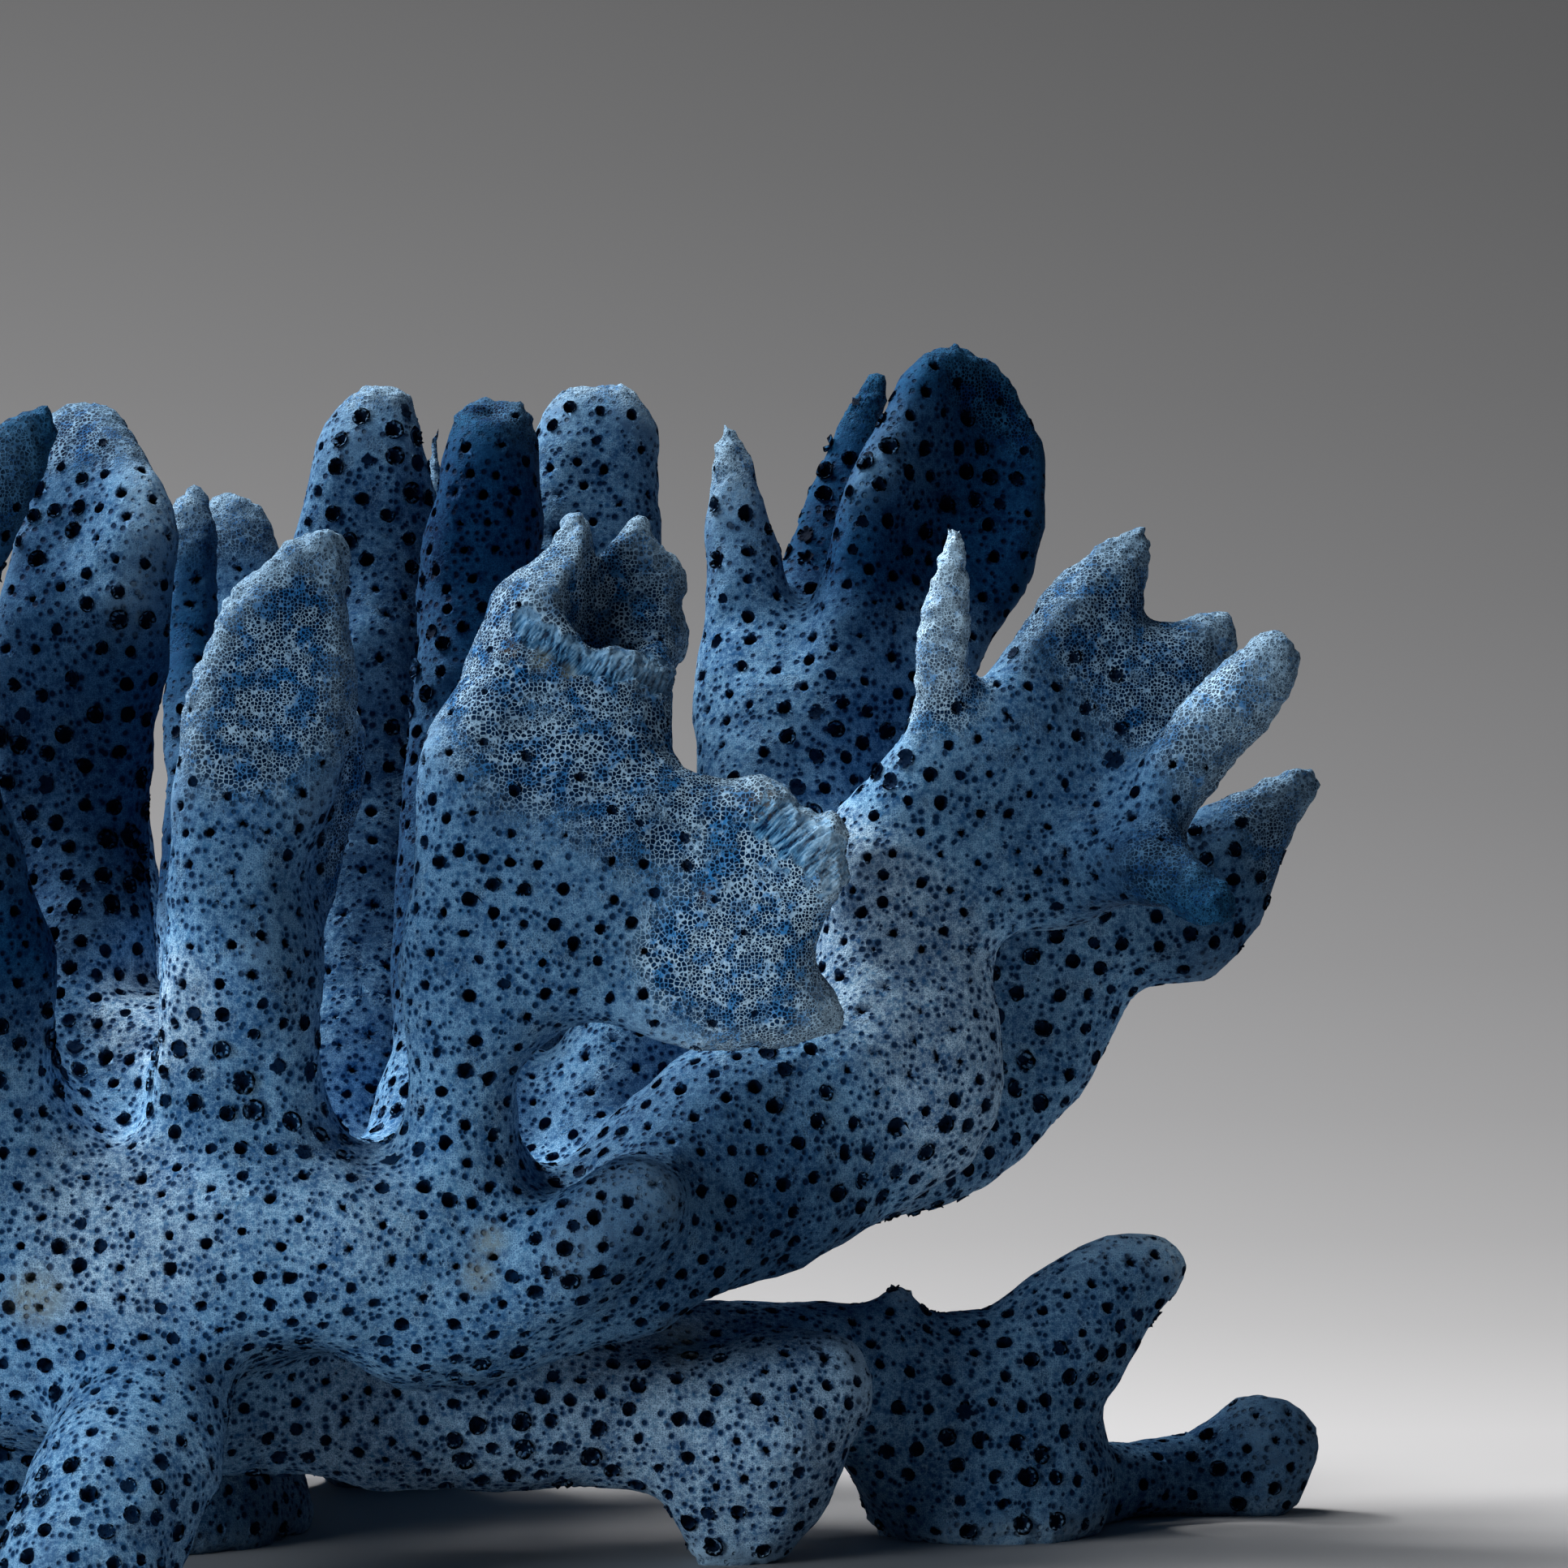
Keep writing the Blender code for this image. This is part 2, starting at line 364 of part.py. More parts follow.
class Field:
    """Distance to the coral's surface on a grid, negative inside."""

    def __init__(self):
        self.shape = tuple(np.ceil((HIGH - LOW) / GRID).astype(int))
        self.values = np.full(self.shape, FAR, np.float32)

    def window(self, centre, reach):
        """The part of the grid within reach of a place."""
        first = np.maximum(((centre - reach - LOW) / GRID).astype(int), 0)
        last = np.minimum(((centre + reach - LOW) / GRID).astype(int) + 2, self.shape)
        return tuple(slice(a, b) for a, b in zip(first, last))

    def places(self, window):
        """The places of a window's grid points."""
        axes = [np.arange(s.start, s.stop) * GRID + LOW[i] for i, s in enumerate(window)]
        return np.stack(np.meshgrid(*axes, indexing="ij"), axis=-1)

    def limb(self, stations, face=0, curl=0, fillet=FILLET):
        """(window, distances) of one limb."""
        chain = smooth_chain(stations)
        low = (chain[:, :3] - chain[:, 3:].max(axis=1)[:, None]).min(axis=0) - fillet
        high = (chain[:, :3] + chain[:, 3:].max(axis=1)[:, None]).max(axis=0) + fillet
        whole = self.window((low + high) / 2, (high - low) / 2)
        near = np.full([s.stop - s.start for s in whole], FAR, np.float32)
        for start, end in zip(chain, chain[1:]):
            along, across, facing = axes_of(end[:3] - start[:3], face)
            length = np.linalg.norm(end[:3] - start[:3])
            reach = max(start[3:].max(), end[3:].max()) + length + fillet
            window = self.window((start[:3] + end[:3]) / 2, reach)
            window = overlap(window, whole)
            offset = self.places(window) - start[:3]
            t = np.clip(offset @ along / length, 0, 1)
            width = start[3] + (end[3] - start[3]) * t
            thick = start[4] + (end[4] - start[4]) * t
            u = offset @ across
            v = offset @ facing - curl * np.minimum(u * u, width * width) / width
            past = offset @ along - t * length
            round_off = np.minimum(width, thick)
            side = np.maximum(np.abs(u) - width + round_off, 0)
            depth = np.maximum(np.abs(v) - thick + round_off, 0)
            distance = np.sqrt(side ** 2 + depth ** 2 + past ** 2) - round_off
            inner = tuple(slice(a.start - b.start, a.stop - b.start) for a, b in zip(window, whole))
            near[inner] = np.minimum(near[inner], distance)
        return whole, near

    def add(self, spec):
        window, near = self.limb(**spec)
        self.values[window] = blended(self.values[window], near, spec.get("fillet", FILLET))

    def scoop(self, spec):
        window, near = self.limb(**spec)
        self.values[window] = -blended(-self.values[window], near, SCOOP_FILLET)

    def lump(self):
        """Swells and sinks the surface in broad lumps and smaller knots."""
        near = np.abs(self.values) < SKIN
        places = np.argwhere(near) * GRID + LOW
        swell = LUMP_HEIGHT * value_noise(places, LUMP_SIZE, SEED)
        swell += KNOT_HEIGHT * value_noise(places, KNOT_SIZE, SEED + 1)
        self.values[near] -= swell


def grown_field():
    """The colony: the branches blend closely with each other, and softly with the crust."""
    field = Field()
    for spec in {**BASE, **FEET}.values():
        field.add(spec)
    branches = Field()
    for spec in {**FRONT, **MIDDLE, **RIGHT, **BACK, **WEST}.values():
        branches.add(spec)
    field.values = blended(field.values, branches.values, ROOT_FILLET)
    for spec in HOLLOWS.values():
        field.scoop(spec)
    field.lump()
    return field


def parting_of(piece):
    """A place and direction: the piece begins there and grows that way."""
    share, limb = PIECES[piece][1], PIECES[piece][2][0]
    chain = smooth_chain(LIMBS[limb]["stations"])
    travelled = np.concatenate([[0], np.cumsum(np.linalg.norm(np.diff(chain[:, :3], axis=0), axis=1))])
    index = int(np.clip(np.searchsorted(travelled, share * travelled[-1]), 1, len(chain) - 1))
    along = chain[index, :3] - chain[index - 1, :3]
    return chain[index, :3], along / np.linalg.norm(along)


def piece_distances(field):
    """For every piece, its own distance on the grid, parted from its carrier by a plane."""
    own = {name: np.full(field.shape, FAR, np.float32) for name in [CRUST, *PIECES]}
    for limb in CRUST_LIMBS:
        window, near = field.limb(**BASE[limb])
        own[CRUST][window] = np.minimum(own[CRUST][window], near)
    for name, (carrier, _, limbs) in PIECES.items():
        centre, along = parting_of(name)
        for limb in limbs:
            window, near = field.limb(**LIMBS[limb])
            beyond = np.clip((field.places(window) - centre) @ along, -PARTING, PARTING) / 2
            own[name][window] = np.minimum(own[name][window], near - beyond)
            own[carrier][window] = np.minimum(own[carrier][window], near + beyond)
    return own


def parted_fields(field):
    """The colony's field cut down to each piece, with a narrow gap where pieces meet."""
    own = piece_distances(field)
    best = np.full(field.shape, 2 * FAR, np.float32)
    second = np.full(field.shape, 2 * FAR, np.float32)
    owner = np.full(field.shape, -1, np.int16)
    for index, values in enumerate(own.values()):
        first = values < best
        second = np.where(first, best, np.minimum(second, values))
        best = np.where(first, values, best)
        owner[first] = index
    lead = second - best
    for index, name in enumerate(own):
        places = np.argwhere((owner == index) & (field.values < 0))
        low, high = places.min(axis=0) - MARGIN, places.max(axis=0) + MARGIN + 1
        window = tuple(slice(max(a, 0), b) for a, b in zip(low, high))
        side = np.where(owner[window] == index, -lead[window], lead[window])
        slope = np.sqrt(sum(g * g for g in np.gradient(side, GRID)))
        side = side / np.maximum(slope, SLOWEST) + GAP / 2
        yield name, window, np.maximum(field.values[window], side)


def piece_mesh(name, window, values):
    """One piece as a closed mesh."""
    padded = np.pad(values, MARGIN, constant_values=FAR)
    grid = openvdb.FloatGrid(FAR)
    grid.copyFromArray(padded.astype(np.float32))
    points, triangles, quads = grid.convertToPolygons(0.0, 0.0)
    corner = np.array([s.start - MARGIN for s in window])
    points = ((points + corner) * GRID + LOW) * MM
    mesh = bpy.data.meshes.new(name)
    faces = [list(map(int, face)) for face in list(triangles) + list(quads)]
    mesh.from_pydata(points.tolist(), [], faces)
    mesh.update()
    return mesh


def keep_largest(mesh):
    """Removes crumbs that hang free of the colony, and turns the faces outward."""
    shape = bmesh.new()
    shape.from_mesh(mesh)
    groups = loose_groups(shape)
    groups.sort(key=len)
    for group in groups[:-1]:
        bmesh.ops.delete(shape, geom=group, context="VERTS")
    bmesh.ops.recalc_face_normals(shape, faces=shape.faces)
    shape.to_mesh(mesh)
    shape.free()


def loose_groups(shape):
    """Lists of vertices, one for each connected body."""
    seen = set()
    groups = []
    for first in shape.verts:
        if first in seen:
            continue
        seen.add(first)
        group = [first]
        for vertex in group:
            for edge in vertex.link_edges:
                other = edge.other_vert(vertex)
                if other not in seen:
                    seen.add(other)
                    group.append(other)
        groups.append(group)
    return groups


def evaluated_mesh(body):
    """The body's mesh with its modifiers applied."""
    bpy.context.view_layer.update()
    graph = bpy.context.evaluated_depsgraph_get()
    return bpy.data.meshes.new_from_object(body.evaluated_get(graph))


def coarser(mesh, faces):
    """The same shape in about the given number of triangles, fewest where it is plain."""
    body = bpy.data.objects.new("piece", mesh)
    bpy.context.scene.collection.objects.link(body)
    thin = body.modifiers.new("coarser", "DECIMATE")
    thin.ratio = faces / sum(len(face.vertices) - 2 for face in mesh.polygons)
    thin.use_collapse_triangulate = True
    result = evaluated_mesh(body)
    bpy.data.objects.remove(body)
    return result


def floor_cutter():
    """A block under the floor, which cuts every foot off flat."""
    size = (HIGH - LOW) * (1, 1, 0) + (0, 0, FLOOR_DEPTH)
    middle = (HIGH + LOW) / 2 * (1, 1, 0) - (0, 0, FLOOR_DEPTH / 2)
    shape = bmesh.new()
    bmesh.ops.create_cube(shape, size=1)
    bmesh.ops.scale(shape, vec=Vector(size * MM), verts=shape.verts)
    bmesh.ops.translate(shape, vec=Vector(middle * MM), verts=shape.verts)
    mesh = bpy.data.meshes.new("floor_cutter")
    shape.to_mesh(mesh)
    shape.free()
    cutter = bpy.data.objects.new("floor_cutter", mesh)
    cutter.hide_render = True
    cutter.display_type = "WIRE"
    bpy.context.scene.collection.objects.link(cutter)
    return cutter


def cut_flat(mesh, cutter):
    """The piece without what reaches under the floor."""
    if min(v.co.z for v in mesh.vertices) > 0:
        return mesh
    body = bpy.data.objects.new("piece", mesh)
    bpy.context.scene.collection.objects.link(body)
    cut = body.modifiers.new("floor", "BOOLEAN")
    cut.operation = "DIFFERENCE"
    cut.solver = "EXACT"
    cut.object = cutter
    result = evaluated_mesh(body)
    bpy.data.objects.remove(body)
    return result


def blue_material(name, shade):
    """Dry blue coral, a little lighter or darker from piece to piece."""
    colour = [channel * shade for channel in COLOUR]
    material = bpy.data.materials.new(name)
    material.use_nodes = True
    shader = material.node_tree.nodes["Principled BSDF"]
    shader.inputs["Base Color"].default_value = (*colour, 1)
    shader.inputs["Roughness"].default_value = ROUGHNESS
    shader.inputs["Metallic"].default_value = 0.0
    return material


def place_piece(name, mesh, centre, parent, shade):
    """The piece as an object whose own origin is where it parts from its carrier."""
    root = Vector(parting_of(name)[0] if name in PIECES else CRUST_ORIGIN) * MM
    for vertex in mesh.vertices:
        vertex.co -= root
    mesh.shade_smooth()
    mesh.set_sharp_from_angle(angle=SHARP_ANGLE)
    mesh.materials.append(blue_material(name, shade))
    piece = bpy.data.objects.new(name, mesh)
    piece.location = root - centre
    piece.parent = parent
    bpy.context.scene.collection.objects.link(piece)


def surface_area(mesh):
    return sum(face.area for face in mesh.polygons)


def main():
    for old in list(bpy.data.objects):
        bpy.data.objects.remove(old)
    field = grown_field()
    meshes = {name: piece_mesh(name, window, values) for name, window, values in parted_fields(field)}
    for mesh in meshes.values():
        keep_largest(mesh)
    whole_area = sum(surface_area(mesh) for mesh in meshes.values())
    cutter = floor_cutter()
    for name, mesh in meshes.items():
        coarse = coarser(mesh, FACES * surface_area(mesh) / whole_area)
        meshes[name] = cut_flat(coarse, cutter)
    corners = np.array([v.co[:] for mesh in meshes.values() for v in mesh.vertices])
    low, high = corners.min(axis=0), corners.max(axis=0)
    centre = Vector(((low[0] + high[0]) / 2, (low[1] + high[1]) / 2, 0))
    print("middle of the foot print, mm:", tuple(round(c / MM, 2) for c in centre))
    parent = bpy.data.objects.new("coral", None)
    bpy.context.scene.collection.objects.link(parent)
    for count, (name, mesh) in enumerate(meshes.items()):
        place_piece(name, mesh, centre, parent, SHADES[count % len(SHADES)])


main()
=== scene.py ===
import math

import bpy
import numpy as np
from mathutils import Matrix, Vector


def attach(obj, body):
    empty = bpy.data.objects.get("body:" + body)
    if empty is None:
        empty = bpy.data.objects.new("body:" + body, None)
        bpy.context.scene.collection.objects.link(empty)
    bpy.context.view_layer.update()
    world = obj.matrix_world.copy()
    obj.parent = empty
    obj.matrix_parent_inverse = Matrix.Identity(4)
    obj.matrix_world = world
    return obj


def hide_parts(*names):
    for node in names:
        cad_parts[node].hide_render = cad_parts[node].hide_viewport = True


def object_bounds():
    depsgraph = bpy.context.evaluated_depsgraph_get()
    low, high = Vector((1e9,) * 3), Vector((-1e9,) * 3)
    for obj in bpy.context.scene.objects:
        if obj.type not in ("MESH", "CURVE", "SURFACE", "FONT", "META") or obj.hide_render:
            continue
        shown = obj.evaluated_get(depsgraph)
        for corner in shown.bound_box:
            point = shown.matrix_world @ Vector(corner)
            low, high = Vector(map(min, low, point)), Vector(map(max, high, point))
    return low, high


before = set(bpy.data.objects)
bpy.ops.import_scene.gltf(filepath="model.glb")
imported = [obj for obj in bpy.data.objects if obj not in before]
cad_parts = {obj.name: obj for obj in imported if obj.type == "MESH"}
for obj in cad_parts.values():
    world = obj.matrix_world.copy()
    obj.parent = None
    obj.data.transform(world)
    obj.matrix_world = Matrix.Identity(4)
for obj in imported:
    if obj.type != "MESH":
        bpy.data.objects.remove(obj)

import openvdb
from mathutils import Vector, kdtree
from mathutils.bvhtree import BVHTree

# Blue ridge coral. One skin is grown over all the pieces of the frame, so that the cuts between
# them close, and is then given out to the pieces again. Lengths are in millimetres until a mesh
# is made, and places are in the frame's axes.

mm = 0.001
cadBox = [list(corner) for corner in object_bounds()]
nodeNames = sorted(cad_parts)
photoMiddle = (-36.68, 28.67)  # the frame's origin, seen from the point in front of the photo's camera


# Camera and light

view = {
    "photoSize": 1932,
    "mmPerPixel": 0.057,  # at the knife blade, which is in focus
    "distance": 500.0,
    "height": 74.3,
    "pitch": -2.0,
    "sensor": 36.0,
}

lamps = {
    "keyLight": {"place": (-330, 190, 520), "size": (190, 190), "watts": 7.6,
                 "colour": (1.0, 0.985, 0.96)},
    "topLight": {"place": (-120, 0, 640), "size": (250, 250), "watts": 2.5,
                 "colour": (1.0, 0.99, 0.98)},
    "frontFill": {"place": (-480, -420, 150), "size": (300, 300), "watts": 2.3,
                  "colour": (0.86, 0.94, 1.0)},
}
lampAim = (-10, 0, 40)
ambient = (0.009, 0.018, 0.033)

backdrop = {
    "floorFront": -6000.0,
    "wallBack": 700.0,
    "halfWidth": 2600.0,
    "wallHeight": 2400.0,
    "bend": 560.0,
    "bendSteps": 16,
    "colour": (0.40, 0.40, 0.41),
    "darkensFrom": 60.0,  # painted shade: the paper is painted darker the further back it lies
    "darkensOver": 300.0,
}


def millimetres(place):
    return Vector(place) * mm


def makeCamera():
    data = bpy.data.cameras.new("photoCamera")
    data.sensor_width = view["sensor"]
    data.lens = view["sensor"] * view["distance"] / (view["mmPerPixel"] * view["photoSize"])
    data.clip_start = 0.01
    data.clip_end = 20
    camera = bpy.data.objects.new("photoCamera", data)
    camera.location = millimetres((-photoMiddle[0], -view["distance"] - photoMiddle[1], view["height"]))
    camera.rotation_euler = (math.radians(90 + view["pitch"]), 0, 0)
    bpy.context.scene.collection.objects.link(camera)
    bpy.context.scene.camera = camera


def makeLamp(name, look):
    data = bpy.data.lights.new(name, "AREA")
    data.shape = "RECTANGLE"
    data.size, data.size_y = (side * mm for side in look["size"])
    data.energy = look["watts"]
    data.color = look["colour"]
    lamp = bpy.data.objects.new(name, data)
    lamp.location = millimetres(look["place"])
    aim = millimetres(lampAim) - lamp.location
    lamp.rotation_euler = aim.to_track_quat("-Z", "Y").to_euler()
    bpy.context.scene.collection.objects.link(lamp)


def backdropMaterial():
    material = bpy.data.materials.new("studioPaper")
    material.use_nodes = True
    nodes, links = material.node_tree.nodes, material.node_tree.links
    shader = nodes["Principled BSDF"]
    shader.inputs["Roughness"].default_value = 0.9
    shader.inputs["Specular IOR Level"].default_value = 0.15
    place = nodes.new("ShaderNodeNewGeometry")
    apart = nodes.new("ShaderNodeSeparateXYZ")
    links.new(place.outputs["Position"], apart.inputs[0])
    # painted shade: the paper's colour fades to black further back
    value = apart.outputs["Y"]
    for operation, number in (("SUBTRACT", backdrop["darkensFrom"] * mm), ("MAXIMUM", 0.0),
                              ("DIVIDE", -backdrop["darkensOver"] * mm), ("EXPONENT", 0.0)):
        step = nodes.new("ShaderNodeMath")
        step.operation = operation
        links.new(value, step.inputs[0])
        step.inputs[1].default_value = number
        value = step.outputs[0]
    mix = nodes.new("ShaderNodeMix")
    mix.data_type = "RGBA"
    mix.inputs["A"].default_value = (0, 0, 0, 1)
    mix.inputs["B"].default_value = (*backdrop["colour"], 1)
    links.new(value, mix.inputs["Factor"])
    links.new(mix.outputs["Result"], shader.inputs["Base Color"])
    # seen from behind, the wall doesn't hide the coral
    clear = nodes.new("ShaderNodeBsdfTransparent")
    side = nodes.new("ShaderNodeMixShader")
    links.new(place.outputs["Backfacing"], side.inputs["Fac"])
    links.new(shader.outputs["BSDF"], side.inputs[1])
    links.new(clear.outputs["BSDF"], side.inputs[2])
    links.new(side.outputs["Shader"], nodes["Material Output"].inputs["Surface"])
    return material


def makeBackdrop():
    # A floor that bends up into a wall.
    profile = [(backdrop["floorFront"], 0)]
    bend, steps = backdrop["bend"], backdrop["bendSteps"]
    for i in range(steps + 1):
        turn = math.pi / 2 * i / steps
        back = backdrop["wallBack"] - bend
        profile.append((back + bend * math.sin(turn), bend - bend * math.cos(turn)))
    profile.append((backdrop["wallBack"], backdrop["wallHeight"]))
    half = backdrop["halfWidth"]
    points = [millimetres((x, y, z)) for y, z in profile for x in (-half, half)]
    faces = [(2 * i, 2 * i + 1, 2 * i + 3, 2 * i + 2) for i in range(len(profile) - 1)]
    mesh = bpy.data.meshes.new("studioFloor")
    mesh.from_pydata(points, [], faces)
    mesh.shade_smooth()
    mesh.materials.append(backdropMaterial())
    floor = bpy.data.objects.new("studioFloor", mesh)
    bpy.context.scene.collection.objects.link(floor)


def setWorld():
    world = bpy.data.worlds.new("studioWorld")
    world.use_nodes = True
    world.node_tree.nodes["Background"].inputs["Color"].default_value = (*ambient, 1)
    bpy.context.scene.world = world
    bpy.context.scene.view_settings.view_transform = "Standard"


makeCamera()
setWorld()
for lampName, lampLook in lamps.items():
    makeLamp(lampName, lampLook)
makeBackdrop()
print("camera, lamps and floor are in place")


# Noise and small mesh sums

noiseCells = 32


def valueNoise(places, size, seed):
    # smooth noise from -1 to 1 with lumps of about the given size
    lattice = np.random.default_rng(seed).random((noiseCells,) * 3).astype(np.float32) * 2 - 1
    scaled = places / size
    cell = np.floor(scaled).astype(int)
    part = scaled - cell
    part = part * part * (3 - 2 * part)
    total = 0
    for corner in np.ndindex(2, 2, 2):
        weight = 1
        for axis in range(3):
            weight = weight * (part[:, axis] if corner[axis] else 1 - part[:, axis])
        index = (cell + corner) % noiseCells
        total = total + weight * lattice[index[:, 0], index[:, 1], index[:, 2]]
    return total


def smoothStep(low, high, value):
    part = np.clip((value - low) / (high - low), 0, 1)
    return part * part * (3 - 2 * part)


def edgePairs(corners, count):
    # every edge once, and which of them each triangle's three sides are
    sides = np.stack([corners, np.roll(corners, -1, axis=1)], axis=-1).reshape(-1, 2)
    sides.sort(axis=1)
    keys, which = np.unique(sides[:, 0].astype(np.int64) * count + sides[:, 1], return_inverse=True)
    return np.stack([keys // count, keys % count], axis=1), which.reshape(-1, 3)


def spread(edges, values, count):
    # the mean over each point's neighbours
    near = np.bincount(edges.ravel(), minlength=count)
    columns = values.reshape(len(values), -1)
    means = [np.bincount(edges[:, 0], columns[edges[:, 1], i], count)
             + np.bincount(edges[:, 1], columns[edges[:, 0], i], count) for i in range(columns.shape[1])]
    return (np.stack(means, axis=1) / near[:, None]).reshape(values.shape)


def pointNormals(spots, corners):
    a, b, c = (spots[corners[:, i]] for i in range(3))
    lean = np.cross(b - a, c - a)
    total = np.stack([sum(np.bincount(corners[:, k], lean[:, axis], len(spots)) for k in range(3))
                      for axis in range(3)], axis=1)
    return total / np.maximum(np.linalg.norm(total, axis=1), 1e-12)[:, None]


# The skin's form

form = {
    "voxel": 0.7,
    "closing": 0.6,  # cuts and grooves up to twice this wide close
    "band": 6.0,  # voxels
    "soften": 0.75,
    "regrow": 0.2,  # what the softening takes off, put back
    "under": 5.0,  # the cut feet are drawn down this far before they are cut off again
    "relax": 6,
    "relaxShares": (0.5, -0.52),  # pulled in and let out again by turns, so that nothing shrinks
    "blurReach": 4,
    "margin": 6,
}


def cadTriangles():
    spots, corners, owners = [], [], []
    start = 0
    for index, name in enumerate(nodeNames):
        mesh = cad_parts[name].data
        mesh.calc_loop_triangles()
        places = np.empty(len(mesh.vertices) * 3, np.float32)
        mesh.vertices.foreach_get("co", places)
        sides = np.empty(len(mesh.loop_triangles) * 3, np.int32)
        mesh.loop_triangles.foreach_get("vertices", sides)
        spots.append(places.reshape(-1, 3) / mm)
        corners.append(sides.reshape(-1, 3) + start)
        owners.append(np.full(len(sides) // 3, index))
        start += len(places) // 3
    return np.vstack(spots).astype(np.float32), np.vstack(corners), np.concatenate(owners)


def levelSet(spots, **faces):
    scale = openvdb.createLinearTransform(form["voxel"])
    return openvdb.FloatGrid.createLevelSetFromPolygons(
        np.asarray(spots, np.float32), transform=scale, halfWidth=form["band"], **faces)


def softened(values):
    # a Gaussian blur, one axis at a time
    reach = form["blurReach"]
    weights = np.exp(-0.5 * (np.arange(-reach, reach + 1) * form["voxel"] / form["soften"]) ** 2)
    weights /= weights.sum()
    for axis in range(3):
        padded = np.moveaxis(values, axis, 0)
        padded = np.concatenate([padded[:1]] * reach + [padded] + [padded[-1:]] * reach)
        size = values.shape[axis]
        total = sum(w * padded[i:i + size] for i, w in enumerate(weights))
        values = np.moveaxis(total, 0, axis)
    return np.ascontiguousarray(values, np.float32)


def grownSkin(spots, corners):
    voxel, closing = form["voxel"], form["closing"]
    drawn = spots.copy()
    drawn[drawn[:, 2] < 0.01, 2] = -form["under"]
    outer = levelSet(drawn, triangles=corners).convertToPolygons(closing, 0.0)
    grid = levelSet(outer[0], triangles=outer[1], quads=outer[2])
    margin = form["margin"]
    low = np.floor(drawn.min(axis=0) / voxel).astype(int) - margin
    high = np.ceil(drawn.max(axis=0) / voxel).astype(int) + margin
    values = np.empty(tuple(high - low), np.float32)
    grid.copyToArray(values, ijk=tuple(int(v) for v in low))
    values = softened(values + closing) - form["regrow"]
    heights = (np.arange(values.shape[2]) + low[2]) * voxel
    values = np.maximum(values, -heights[None, None, :].astype(np.float32))
    cut = openvdb.FloatGrid(form["band"])
    cut.copyFromArray(values)
    points, _, quads = cut.convertToPolygons(0.0, 0.0)
    points = (np.asarray(points) + low) * voxel
    a, b, c, d = (np.asarray(quads)[:, i] for i in range(4))
    short = np.linalg.norm(points[a] - points[c], axis=1) < np.linalg.norm(points[b] - points[d], axis=1)
    halves = [np.stack(side, axis=1) for side in ((a, b, c), (a, c, d), (a, b, d), (b, c, d))]
    triangles = np.vstack([halves[0][short], halves[1][short],
                           halves[2][~short], halves[3][~short]])
    x, y, z = (points[triangles[:, i]] for i in range(3))
    if np.einsum("ij,ij->i", x, np.cross(y, z)).sum() < 0:
        triangles = triangles[:, ::-1]
    return points, triangles.astype(np.int64)


def relaxed(spots, corners):
    # evens out the triangles and leaves the form
    edges, _ = edgePairs(corners, len(spots))
    onFloor = spots[:, 2] < 0.02
    for step in range(form["relax"]):
        for share in form["relaxShares"]:
            moved = spots + share * (spread(edges, spots, len(spots)) - spots)
            moved[onFloor, 2] = 0
            spots = moved
    spots[:, 2] = np.maximum(spots[:, 2], 0)
    return spots


cadSpots, cadCorners, cadOwners = cadTriangles()


def ownersOf(spots, corners):
    # the frame's node that lies nearest to each triangle
    tree = BVHTree.FromPolygons(cadSpots.tolist(), cadCorners.tolist())
    middles = spots[corners].mean(axis=1).tolist()
    return np.array([cadOwners[tree.find_nearest(place)[2]] for place in middles])


# Where the photo's pixels are

def photoPixels(spots):
    # the photo's pixel at which the camera shows each spot, and how far it is
    turn = math.radians(view["pitch"])
    x = spots[:, 0] + photoMiddle[0]
    away = spots[:, 1] + photoMiddle[1] + view["distance"]
    up = spots[:, 2] - view["height"]
    deep = away * math.cos(turn) + up * math.sin(turn)
    rise = up * math.cos(turn) - away * math.sin(turn)
    scale = view["distance"] / view["mmPerPixel"] / deep
    middle = view["photoSize"] / 2
    return np.stack([middle + x * scale, middle - rise * scale], axis=1), deep


def towardCamera(spots, normals):
    eye = np.array([-photoMiddle[0], -view["distance"] - photoMiddle[1], view["height"]])
    line = eye - spots
    return np.einsum("ij,ij->i", line, normals) / np.linalg.norm(line, axis=1)


def offPath(pixels, path):
    # how far each pixel is from a path of pixels
    nearest = np.full(len(pixels), np.inf)
    for start, end in zip(path, path[1:]):
        start, end = np.array(start, float), np.array(end, float)
        length = np.linalg.norm(end - start)
        part = np.clip((pixels - start) @ (end - start) / length ** 2, 0, 1)
        gap = np.linalg.norm(pixels - start - part[:, None] * (end - start), axis=1)
        nearest = np.minimum(nearest, gap)
    return nearest


# How far each spot is from the tip of its limb

fineReach = {  # how far down from a tip the fine net goes before the large pores start
    "other": 5.5, "knife_blade": 16.0, "lone_spike": 20.0, "spread_hand": 13.0, "crown_tower": 10.5,
    "left_blade": 9.0, "lit_blade": 8.0, "hand_thumb": 8.0, "rear_finger": 8.0, "cupped_blade": 4.0,
    "tall_column": 3.5, "chimney_column": 4.5, "fork_spike": 4.5, "squat_column": 4.0,
}
broadNodes = ("coral_crust", "holdfast", "right_shelf", "lower_shelf", "dark_knuckle", "far_foot",
              "front_foot", "rear_foot", "rear_left_foot", "west_foot", "west_trunk", "fork_trunk",
              "hand_trunk")
fineEdge = {
    "steps": 400,
    "starts": 0.55,  # shares of the reach, between which the net fades out
    "ends": 1.25,
    "leastHeight": 2.0,
    "soften": 12,
}


